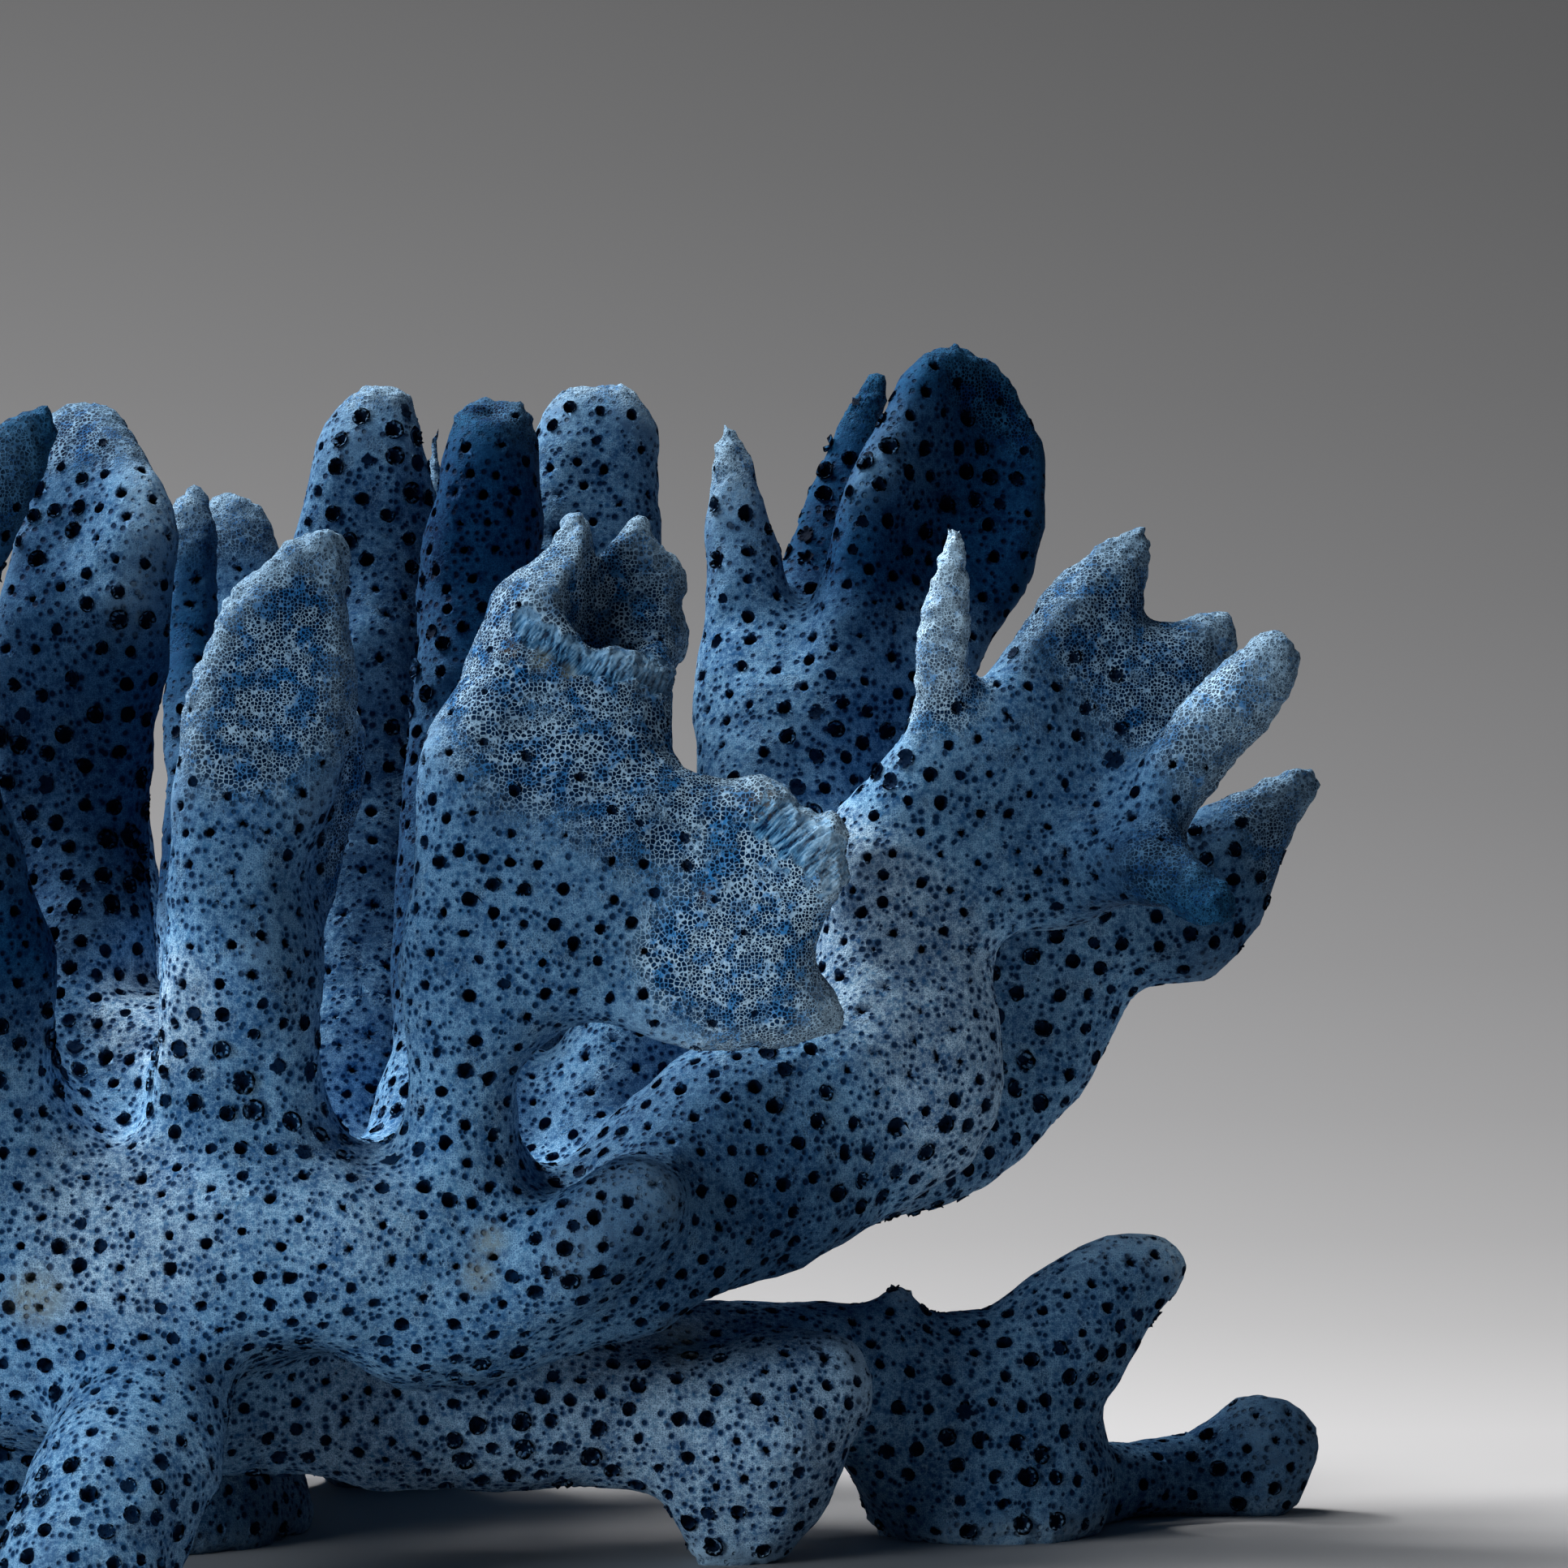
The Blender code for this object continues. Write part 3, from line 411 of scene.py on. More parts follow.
def tipFineness(spots, edges, corners, owners):
    broad = np.array([name in broadNodes for name in nodeNames])
    reach = np.full(len(spots), 1e6)
    reach[corners[broad[owners]].ravel()] = 0
    lengths = np.linalg.norm(spots[edges[:, 0]] - spots[edges[:, 1]], axis=1)
    for step in range(fineEdge["steps"]):
        before = reach.copy()
        np.minimum.at(reach, edges[:, 0], reach[edges[:, 1]] + lengths)
        np.minimum.at(reach, edges[:, 1], reach[edges[:, 0]] + lengths)
        if np.array_equal(before, reach):
            break
    for step in range(6):
        reach = 0.5 * (reach + spread(edges, reach, len(spots)))
    # each spot follows its highest neighbour up to a tip
    up = np.arange(len(spots))
    order = np.argsort(reach[edges].max(axis=1), kind="stable")
    low = np.where(reach[edges[:, 0]] < reach[edges[:, 1]], edges[:, 0], edges[:, 1])
    high = edges.sum(axis=1) - low
    up[low[order]] = high[order]
    for step in range(12):  # enough to reach the tip, as each step doubles the way
        up = up[up]
    toTip = reach[up] - reach
    ownReach = np.array([fineReach.get(name, fineReach["other"]) for name in nodeNames])
    wide = np.zeros(len(spots))
    wide[corners.ravel()] = np.repeat(ownReach[owners], 3)
    fine = 1 - smoothStep(fineEdge["starts"] * wide, fineEdge["ends"] * wide, toTip)
    fine[reach < fineEdge["leastHeight"]] = 0
    for step in range(fineEdge["soften"]):
        fine = spread(edges, fine, len(spots))
    return fine


# How pale each piece is: which pieces are bleached and which are still dark blue, and also painted light
# and shade, paler on lit pieces and darker on pieces that lie in shade. 0 is dark, 1 is pale and 1.7 is
# white

tones = {
    "coral_crust": 1.0, "knife_blade": 0.46, "crown_tower": 0.55, "lone_spike": 1.5, "fork_trunk": 0.66,
    "fork_spike": 0.5, "cupped_blade": 0.0, "hand_trunk": 1.6, "spread_hand": 0.4, "hand_thumb": 0.03,
    "rear_plate": 1.0, "rear_finger": 0.25, "front_foot": 1.1, "right_shelf": 0.3, "lower_shelf": 1.5,
    "dark_knuckle": 0.75, "far_foot": 0.36, "left_blade": 0.0, "lit_blade": 0.18, "thin_finger": 0.05,
    "chimney_column": 0.02, "tall_column": 0.38, "squat_column": 0.52, "far_shoulder": 0.35,
    "holdfast": 0.4, "other": 0.55,
}
# paler patches: partly bleached places, partly painted light on the faces that catch the light
bleachAndPaintedLight = (  # photo x, y, size and how much
    (150, 1520, 130, 0.7), (400, 1500, 120, 0.35), (190, 610, 60, 0.5), (200, 1230, 90, 1.1),
    (940, 1130, 130, 0.7), (860, 1230, 90, 0.4), (1160, 790, 60, 0.4), (1500, 860, 40, 0.3),
    (130, 700, 50, 0.3),
)
toneSpread = 45
toneNoise = {"share": 0.16, "size": 9.0}
paleMost = 1.8


def toneOf(spots, edges, corners, owners):
    values = np.array([tones.get(name, tones["other"]) for name in nodeNames])
    tone = np.zeros(len(spots))
    tone[corners.ravel()] = np.repeat(values[owners], 3)
    for step in range(toneSpread):
        tone = spread(edges, tone, len(spots))
    pixels, _ = photoPixels(spots)
    facing = towardCamera(spots, pointNormals(spots, corners))
    # paler patches, partly bleaching and partly painted light
    for x, y, size, much in bleachAndPaintedLight:
        tone = tone + much * photoMask(pixels, facing, ((x, y, size),))
    return np.clip(tone + toneNoise["share"] * valueNoise(spots, toneNoise["size"], 51), 0, paleMost)


# Large pores

pores = {
    "spacing": 1.9,
    "radius": 0.43,
    "spreadOfSizes": 0.2,
    "depth": 0.85,
    "shallowShare": 0.16,
    "shallow": 0.35,
    "outline": 0.24,  # how uneven the rims are
    "outlineSize": 0.5,
    "unevenGap": 0.22,
    "wideGapAtTips": 0.55,
    "leastHeight": 0.8,
    "smallerAtTips": 0.35,
    "shallowerAtTips": 0.5,
    "highest": 1.2,  # how far over or under its middle a pore still works
    "lip": 0.05,
    "seed": 11,
}


def placePores(spots, normals, fine):
    draw = np.random.default_rng(pores["seed"])
    gap = pores["spacing"] * (1 + pores["unevenGap"] * valueNoise(spots, 7.0, 21)
                              + pores["wideGapAtTips"] * smoothStep(0.1, 0.8, fine))
    lean = draw.random(len(spots))
    free = (spots[:, 2] > pores["leastHeight"]) & (lean > 1.15 * smoothStep(0.35, 0.9, fine) - 0.12)
    cellSize = pores["spacing"]
    cells = np.floor(spots / cellSize).astype(int).tolist()
    places, gaps = spots.tolist(), gap.tolist()
    taken = {}
    kept = []
    for i in draw.permutation(np.flatnonzero(free)).tolist():
        x, y, z = places[i]
        cx, cy, cz = cells[i]
        near = gaps[i] ** 2
        alone = True
        for dx in (-1, 0, 1):
            for dy in (-1, 0, 1):
                for dz in (-1, 0, 1):
                    for px, py, pz in taken.get((cx + dx, cy + dy, cz + dz), ()):
                        if (px - x) ** 2 + (py - y) ** 2 + (pz - z) ** 2 < near:
                            alone = False
        if alone:
            taken.setdefault((cx, cy, cz), []).append((x, y, z))
            kept.append(i)
    kept = np.array(kept)
    count = len(kept)
    small = 1 - pores["smallerAtTips"] * smoothStep(0.15, 0.7, fine[kept])
    size = pores["radius"] * small * (1 + pores["spreadOfSizes"] * (draw.random(count) * 2 - 1))
    depth = pores["depth"] * size / pores["radius"]
    depth *= np.where(draw.random(count) < pores["shallowShare"], pores["shallow"], 1.0)
    depth *= 1 - pores["shallowerAtTips"] * fine[kept]
    return {"places": spots[kept], "axes": normals[kept], "size": size, "depth": depth}


def nearestPore(spots, tree):
    found = [tree.find(place)[1:] for place in spots.tolist()]
    return np.array([f[0] for f in found]), np.array([f[1] for f in found])


# Splitting the mesh where it needs detail

def divided(skin, marked):
    spots, corners, edges, sides = skin["spots"], skin["corners"], skin["edges"], skin["sides"]
    ends = edges[marked]
    middle = np.full(len(edges), -1)
    middle[marked] = np.arange(len(ends)) + len(spots)
    for name in skin["onSpots"]:
        values = skin[name]
        skin[name] = np.concatenate([values, (values[ends[:, 0]] + values[ends[:, 1]]) / 2])
    cut = marked[sides]
    number = cut.sum(axis=1)
    made, parents = [corners[number == 0]], [np.flatnonzero(number == 0)]

    def turned(which, first):
        order = (first[:, None] + np.arange(3)) % 3
        return (np.take_along_axis(corners[which], order, 1),
                np.take_along_axis(middle[sides[which]], order, 1))

    one = np.flatnonzero(number == 1)
    (a, b, c), (m, _, _) = (part.T for part in turned(one, cut[one].argmax(axis=1)))
    made += [np.stack([a, m, c], 1), np.stack([m, b, c], 1)]
    parents += [one, one]
    two = np.flatnonzero(number == 2)
    (a, b, c), (m, n, _) = (part.T for part in turned(two, (~cut[two]).argmax(axis=1) + 1))
    places = skin["spots"]
    short = (np.linalg.norm(places[a] - places[n], axis=1)
             < np.linalg.norm(places[m] - places[c], axis=1))[:, None]
    made += [np.stack([m, b, n], 1),
             np.where(short, np.stack([a, m, n], 1), np.stack([a, m, c], 1)),
             np.where(short, np.stack([a, n, c], 1), np.stack([m, n, c], 1))]
    parents += [two, two, two]
    three = np.flatnonzero(number == 3)
    a, b, c = corners[three].T
    m, n, p = middle[sides[three]].T
    made += [np.stack(side, 1) for side in ((a, m, p), (m, b, n), (p, n, c), (m, n, p))]
    parents += [three] * 4
    skin["owners"] = skin["owners"][np.concatenate(parents)]
    skin["corners"] = np.vstack(made)
    skin["edges"], skin["sides"] = edgePairs(skin["corners"], len(skin["spots"]))


def edgeMiddles(skin, name="spots"):
    values = skin[name]
    return (values[skin["edges"][:, 0]] + values[skin["edges"][:, 1]]) / 2


def edgeLengths(skin):
    ends = skin["spots"][skin["edges"]]
    return np.linalg.norm(ends[:, 0] - ends[:, 1], axis=1)


# Places that the photo shows torn, stained or fine, as photo pixels: x, y and size

finePlaces = {
    "crown_tower": ((700, 850, 150), (820, 960, 110), (960, 1060, 100), (1000, 1190, 90), (860, 1180, 70)),
    "knife_blade": ((330, 760, 130), (300, 900, 80)),
    "lone_spike": ((1165, 760, 130),),
    "spread_hand": ((1400, 740, 100), (1500, 850, 90)),
}
torn = {
    "lip": {"path": ((650, 768), (688, 800), (730, 818), (792, 822), (814, 838)), "halfWidth": 20,
            "raggedness": 0.4, "lean": 0.42, "fibre": 2.3, "depth": 0.3, "ridge": 0.1},
    "knob": {"path": ((962, 1016), (1000, 1044), (1024, 1066)), "halfWidth": 36,
             "raggedness": 0.55, "lean": 0.93, "fibre": 2.9, "depth": 0.1, "ridge": 0.17},
}
paintedEdgeHighlight = 0.9  # painted highlight: how much paler the flakes are painted at the upper edge
crown = {
    "middle": -24.5,  # the y between the crown's front and back walls
    "detail": 0.34,
    "around": (790, 800, 330),
    "pulls": {  # photo x, y and reach, then how far right and up, all in pixels, and which wall
        "leftShoulder": (655, 672, 84, 30, 0, "both"),
        "notch": (736, 664, 26, 0, -40, "both"),
        "rightHorn": (786, 658, 36, 0, 20, "both"),
        "rightCorner": (828, 706, 44, 16, 4, "both"),
        "frontRim": (774, 816, 62, 0, 22, "front"),
        "frontRimLeft": (708, 796, 40, 0, 9, "front"),
        "knobTop": (952, 972, 50, 0, 12, "both"),
        "knobDip": (996, 1004, 20, 0, -9, "both"),
        "knobEnd": (1026, 1030, 40, 12, 8, "both"),
    },
    "hollow": (776, 738, 78),
}
stains = {
    "cream": ((603, 1530, 20), (590, 1572, 20), (840, 1655, 26), (45, 1600, 34), (668, 812, 13),
              (700, 828, 10)),
    "brown": ((1175, 620, 10), (1160, 665, 8), (945, 990, 20), (870, 1100, 9), (925, 985, 12),
              (628, 800, 12)),
}


def photoMask(pixels, facing, places):
    mask = np.zeros(len(pixels))
    for x, y, size in places:
        gap = np.hypot(pixels[:, 0] - x, pixels[:, 1] - y)
        mask = np.maximum(mask, 1 - smoothStep(0.3 * size, 1.6 * size, gap))
    return mask * smoothStep(0, 0.3, facing)


detail = {  # the longest triangle side
    "tips": 0.42,
    "rims": 0.42,
    "pores": 0.4,
    "poresInPhoto": 0.18,
    "crown": 0.27,
    "torn": 0.14,
    "photoDepth": 585.0,  # what the photo shows nearer than this
    "crownPlace": (720, 745, 120),
    "coarse": 9.0,
    "slack": 1.3,  # a side splits when it is this much longer than its place allows
    "besidePore": 0.22,
    "besideInPhoto": 0.12,
    "steps": 4,
}


def wantedEdge(skin, tree, poreSet):
    # the longest side that each place allows
    middles, lengths = edgeMiddles(skin), edgeLengths(skin)
    wanted = np.full(len(middles), detail["coarse"])
    wanted[edgeMiddles(skin, "fine") > 0.35] = detail["tips"]
    wanted[edgeMiddles(skin, "rim") > 0.4] = detail["rims"]
    splittable = lengths > detail["slack"] * detail["torn"]
    pore, gap = np.zeros(len(middles), int), np.full(len(middles), detail["coarse"])
    pore[splittable], gap[splittable] = nearestPore(middles[splittable], tree)
    size = poreSet["size"][pore]
    pixels, away = photoPixels(middles)
    normals = pointNormals(skin["spots"], skin["corners"])
    facing = towardCamera(middles, normals[skin["edges"]].sum(axis=1) / 2)
    inPhoto = (facing > 0.05) & (away < detail["photoDepth"]) & (pixels[:, 0] > -20)
    nearPore = gap < size + detail["besidePore"]
    wanted[nearPore] = np.minimum(wanted, detail["pores"])[nearPore]
    wanted[inPhoto & (gap < size + detail["besideInPhoto"])] = detail["poresInPhoto"]
    tower = np.zeros(len(middles), bool)
    tower[skin["sides"][skin["owners"] == nodeNames.index("crown_tower")].ravel()] = True
    x, y, size = detail["crownPlace"]
    tower &= facing > -0.3
    wanted[tower & (np.hypot(pixels[:, 0] - x, pixels[:, 1] - y) < size)] = detail["crown"]
    for place in torn.values():
        off = offPath(pixels, place["path"])
        wanted[tower & (off < 1.4 * place["halfWidth"])] = detail["torn"]
    return lengths > detail["slack"] * wanted


def crownPulled(skin):
    # the horns, the notch and the lip of the torn crown, too thin for the grown skin
    x, y, size = crown["around"]
    for step in range(2):
        pixels, _ = photoPixels(edgeMiddles(skin))
        mine = np.zeros(len(pixels), bool)
        mine[skin["sides"][skin["owners"] == nodeNames.index("crown_tower")].ravel()] = True
        mine &= np.hypot(pixels[:, 0] - x, pixels[:, 1] - y) < size
        divided(skin, mine & (edgeLengths(skin) > detail["slack"] * crown["detail"]))
    spots, edges = skin["spots"], skin["edges"]
    mine = ownedBy(skin, "crown_tower")
    pixels, _ = photoPixels(spots)
    around = (1 - smoothStep(0.7 * size, size, np.hypot(pixels[:, 0] - x, pixels[:, 1] - y))) * mine
    for step in range(2):
        spots = spots + 0.5 * around[:, None] * (spread(edges, spots, len(spots)) - spots)
    pixels, away = photoPixels(spots)
    scale = view["mmPerPixel"] * away / view["distance"]
    shift = np.zeros((len(spots), 3))
    for px, py, reach, right, up, wall in crown["pulls"].values():
        share = (1 - smoothStep(0.2 * reach, reach, np.hypot(pixels[:, 0] - px, pixels[:, 1] - py))) * mine
        if wall == "front":
            share *= 1 - smoothStep(-0.6, 0.6, spots[:, 1] - crown["middle"])
        shift[:, 0] += share * right * scale
        shift[:, 2] += share * up * scale
    skin["spots"] = spots + shift


def ownedBy(skin, name):
    mine = np.zeros(len(skin["spots"]), bool)
    mine[skin["corners"][skin["owners"] == nodeNames.index(name)].ravel()] = True
    return mine


def rimOf(spots, edges, normals):
    # 1 on sharp edges that stand proud, 0 elsewhere
    smooth = spots
    for step in range(10):
        smooth = spread(edges, smooth, len(spots))
    proud = np.einsum("ij,ij->i", spots - smooth, normals)
    for step in range(3):
        proud = spread(edges, proud, len(spots))
    return smoothStep(0.22, 0.6, proud)


def makeSkin():
    spots, corners = grownSkin(cadSpots, cadCorners)
    spots = relaxed(spots, corners)
    owners = ownersOf(spots, corners)
    print("skin grown:", len(spots), "points,", len(corners), "triangles")
    edges, sides = edgePairs(corners, len(spots))
    normals = pointNormals(spots, corners)
    fine = tipFineness(spots, edges, corners, owners)
    pixels, _ = photoPixels(spots)
    facing = towardCamera(spots, normals)
    for name, places in finePlaces.items():
        here = np.zeros(len(spots), bool)
        here[corners[owners == nodeNames.index(name)].ravel()] = True
        fine = np.maximum(fine, photoMask(pixels, facing + 0.4, places) * here)
    for step in range(8):
        fine = spread(edges, fine, len(spots))
    rim = rimOf(spots, edges, normals)
    tone = toneOf(spots, edges, corners, owners)
    skin = {"spots": spots, "fine": fine, "rim": rim, "tone": tone, "corners": corners,
            "owners": owners, "edges": edges, "sides": sides,
            "onSpots": ("spots", "fine", "rim", "tone")}
    crownPulled(skin)
    poreSet = placePores(skin["spots"], pointNormals(skin["spots"], skin["corners"]), skin["fine"])
    print("pores placed:", len(poreSet["size"]))
    tree = kdtree.KDTree(len(poreSet["size"]))
    for i, place in enumerate(poreSet["places"].tolist()):
        tree.insert(place, i)
    tree.balance()
    for step in range(detail["steps"]):
        divided(skin, wantedEdge(skin, tree, poreSet))
        print("refined:", len(skin["corners"]), "triangles")
    return skin, poreSet, tree


def sunkPores(skin, poreSet, tree):
    # rim points are drawn onto the rim, and what is inside sinks
    spots = skin["spots"]
    pore, gap = nearestPore(spots, tree)
    centre, axis = poreSet["places"][pore], poreSet["axes"][pore]
    size, depth = poreSet["size"][pore], poreSet["depth"][pore]
    offset = spots - centre
    rise = np.einsum("ij,ij->i", offset, axis)
    flat = offset - rise[:, None] * axis
    across = np.linalg.norm(flat, axis=1)
    outward = flat / np.maximum(across, 1e-6)[:, None]
    around = valueNoise(centre + 0.45 * outward, pores["outlineSize"], 31)
    outline = size * (1 + pores["outline"] * around)
    reach = across / outline
    reach[np.abs(rise) > pores["highest"]] = 3
    near = reach < 1.6
    drawn = reach.copy()
    rim = np.abs(reach - 1) < 0.24
    drawn[rim] = 1 + 0.15 * (reach[rim] - 1)
    floor = (reach > 0.45) & (reach <= 0.76)
    drawn[floor] = 0.72 + 0.25 * (reach[floor] - 0.62)
    scale = np.where(near & (reach > 1e-3), drawn / np.maximum(reach, 1e-3), 1)
    sink = depth * (1 - smoothStep(0.70, 1.0, drawn)) * (1 - 0.12 * drawn)
    lip = pores["lip"] * np.exp(-((drawn - 1.12) / 0.18) ** 2)
    moved = (centre + rise[:, None] * axis + flat * scale[:, None]
             - ((sink - lip) * near)[:, None] * axis)
    skin["spots"] = np.where(near[:, None], moved, spots)
    skin["poreReach"] = np.clip(reach, 0, 3)
    skin["sunk"] = np.where(near, sink, 0)


def fibreNoise(pixels, lean, width, seed):
    # long thin lumps that follow the fibres
    across = pixels[:, 0] * math.cos(lean) + pixels[:, 1] * math.sin(lean)
    down = pixels[:, 1] * math.cos(lean) - pixels[:, 0] * math.sin(lean)
    places = np.stack([across / width, down / (7 * width), np.zeros(len(pixels))], axis=1)
    return 0.7 * valueNoise(places, 1.0, seed) + 0.5 * valueNoise(places, 0.45, seed + 1)


def tornAway(skin):
    # the outer layer is gone from these places, and the tubes under it show as fibres
    spots = skin["spots"]
    normals = pointNormals(spots, skin["corners"])
    pixels, _ = photoPixels(spots)
    facing = towardCamera(spots, normals)
    here = ownedBy(skin, "crown_tower")
    skin["torn"], skin["flake"] = np.zeros(len(spots)), np.zeros(len(spots))
    for seed, place in enumerate(torn.values()):
        off = offPath(pixels, place["path"])
        line = np.array(place["path"], float)
        beside = pixels[:, 1] - np.interp(pixels[:, 0], line[:, 0], line[:, 1])
        edge = place["halfWidth"] * (1 + place["raggedness"] * valueNoise(spots, 0.6, 61 + seed))
        mask = (1 - smoothStep(0.8, 1.02, off / edge)) * here * (facing > -0.1)
        ridge = fibreNoise(pixels, place["lean"], place["fibre"], 71 + seed)
        push = mask * (place["ridge"] * ridge - place["depth"])
        skin["spots"] = skin["spots"] + push[:, None] * normals
        skin["torn"] = np.maximum(skin["torn"], mask)
        # painted highlight: the flakes are painted paler towards the upper edge
        top = smoothStep(0.35, 0.9, -beside / edge)
        skin["flake"] += mask * (ridge + paintedEdgeHighlight * top)


roughness = {  # how far the surface is pushed in and out, and the size of the lumps
    "broad": ((0.42, 7.5), (0.24, 3.1), (0.12, 1.4)),
    "crumbs": (0.12, 0.75),
    "ridges": (0.11, 1.1),
    "edge": ((0.26, 0.8), (0.16, 0.5)),
    "hollow": (0.16, 0.6),
}


def roughened(skin):
    spots = skin["spots"]
    normals = pointNormals(spots, skin["corners"])
    fine, rim = skin["fine"], skin["rim"]
    quiet = 1 - smoothStep(0.05, 0.3, skin["sunk"])
    push = sum(far * valueNoise(spots, size, 40 + i) for i, (far, size) in enumerate(roughness["broad"]))
    (crumbFar, crumbSize), (ridgeFar, ridgeSize) = roughness["crumbs"], roughness["ridges"]
    crumb = (crumbFar * valueNoise(spots, crumbSize, 43)
             + ridgeFar * np.abs(valueNoise(spots, ridgeSize, 44)))
    edge = sum(far * valueNoise(spots, size, 45 + i) for i, (far, size) in enumerate(roughness["edge"]))
    # the crown's hollow: roughened here, and painted with shade in the material
    x, y, size = crown["hollow"]
    pixels, _ = photoPixels(spots)
    inside = smoothStep(-1.2, 0.2, spots[:, 1] - crown["middle"]) * (towardCamera(spots, normals) > 0.0)
    inside *= (1 - smoothStep(0.75 * size, size, np.hypot(pixels[:, 0] - x, pixels[:, 1] - y)))
    skin["hollow"] = inside * ownedBy(skin, "crown_tower")
    hollowFar, hollowSize = roughness["hollow"]
    push = push + hollowFar * skin["hollow"] * valueNoise(spots, hollowSize, 47)
    atEdge = np.maximum(rim * smoothStep(0.2, 0.7, fine), 0.25 * rim)
    push = (push + fine * crumb + atEdge * edge) * quiet
    onFloor = spots[:, 2] < 0.05
    push[onFloor] = 0
    skin["spots"] = spots + push[:, None] * normals
    skin["spots"][onFloor, 2] = 0


skin, poreSet, poreTree = makeSkin()
sunkPores(skin, poreSet, poreTree)
roughened(skin)
tornAway(skin)
print("skin finished:", len(skin["spots"]), "points,", len(skin["corners"]), "triangles")


# Material

def addNode(tree, kind, inputs=None, **settings):
    node = tree.nodes.new("ShaderNode" + kind)
    for name, value in settings.items():
        setattr(node, name, value)
    for name, value in (inputs or {}).items():
        if isinstance(value, bpy.types.NodeSocket):
            tree.links.new(value, node.inputs[name])
        else:
            node.inputs[name].default_value = value
    return node


def maths(tree, operation, *values, clamp=False):
    return addNode(tree, "Math", dict(enumerate(values)), operation=operation, use_clamp=clamp).outputs[0]


def faded(tree, value, low, high, first=0.0, last=1.0):
    return addNode(tree, "MapRange", {"Value": value, "From Min": low, "From Max": high,
                                      "To Min": first, "To Max": last},
                   interpolation_type="SMOOTHSTEP").outputs["Result"]


def mixed(tree, factor, first, second, how="MIX"):
    return addNode(tree, "Mix", {"Factor": factor, "A": first, "B": second},
                   data_type="RGBA", blend_type=how).outputs["Result"]


def newGroup(name, inputs, outputs):
    tree = bpy.data.node_groups.new(name, "ShaderNodeTree")
    for title, kind, value in inputs:
        socket = tree.interface.new_socket(title, in_out="INPUT", socket_type="NodeSocket" + kind)
        if value is not None:
            socket.default_value = value
    for title, kind in outputs:
        tree.interface.new_socket(title, in_out="OUTPUT", socket_type="NodeSocket" + kind)
    start = tree.nodes.new("NodeGroupInput")
    end = tree.nodes.new("NodeGroupOutput")
    return tree, start.outputs, end


def noise(tree, place, scale, detailLevel=3.0, roughness=0.55):
    return addNode(tree, "TexNoise", {"Vector": place, "Scale": scale, "Detail": detailLevel,
                                      "Roughness": roughness}).outputs["Fac"]


def honeycombGroup():
    # the net of walls between open tube ends, with a shade for each tube
    tree, given, end = newGroup("honeycomb",
                                [("Place", "Vector", None), ("Cell Size", "Float", 0.34),
                                 ("Wall", "Float", 0.14)],
                                [("Hole", "Float"), ("Tube Shade", "Float")])
    scale = maths(tree, "DIVIDE", 1.0, given["Cell Size"])
    strewn = {"Vector": given["Place"], "Scale": scale, "Randomness": 0.8}
    edge = addNode(tree, "TexVoronoi", strewn, feature="DISTANCE_TO_EDGE").outputs["Distance"]
    cell = addNode(tree, "TexVoronoi", strewn)
    shade = addNode(tree, "SeparateColor", {"Color": cell.outputs["Color"]}).outputs["Red"]
    hole = faded(tree, edge, maths(tree, "MULTIPLY", given["Wall"], 0.5),
                 maths(tree, "MULTIPLY", given["Wall"], 1.3))
    rounded = faded(tree, cell.outputs["Distance"], 0.5, 0.72, 1.0, 0.0)
    hole = maths(tree, "MULTIPLY", hole, rounded)
    tree.links.new(hole, end.inputs["Hole"])
    tree.links.new(shade, end.inputs["Tube Shade"])
    return tree


def smallPoresGroup():
    # small pores strewn at random, with a soft halo round each
    tree, given, end = newGroup("smallPores",
                                [("Place", "Vector", None), ("Spacing", "Float", 1.0),
                                 ("Size", "Float", 0.2), ("Share", "Float", 0.8),
                                 ("Softness", "Float", 0.3)],
                                [("Hole", "Float"), ("Halo", "Float")])
    scale = maths(tree, "DIVIDE", 1.0, given["Spacing"])
    spot = addNode(tree, "TexVoronoi", {"Vector": given["Place"], "Scale": scale, "Randomness": 0.9})
    parts = addNode(tree, "SeparateColor", {"Color": spot.outputs["Color"]}).outputs
    there = maths(tree, "LESS_THAN", parts["Red"], given["Share"])
    size = maths(tree, "MULTIPLY", given["Size"], maths(tree, "MULTIPLY_ADD", parts["Green"], 0.9, 0.6))
    size = maths(tree, "MULTIPLY", size, scale)
    inner = maths(tree, "MULTIPLY", size, maths(tree, "SUBTRACT", 1.0, given["Softness"]))
    outer = maths(tree, "MULTIPLY", size, maths(tree, "ADD", 1.0, given["Softness"]))
    hole = faded(tree, spot.outputs["Distance"], inner, outer, 1.0, 0.0)
    halo = faded(tree, spot.outputs["Distance"], size, maths(tree, "MULTIPLY", size, 2.6), 1.0, 0.0)
    tree.links.new(maths(tree, "MULTIPLY", hole, there), end.inputs["Hole"])
    tree.links.new(maths(tree, "MULTIPLY", halo, there), end.inputs["Halo"])
    return tree


groups = {"honeycomb": honeycombGroup(), "smallPores": smallPoresGroup()}

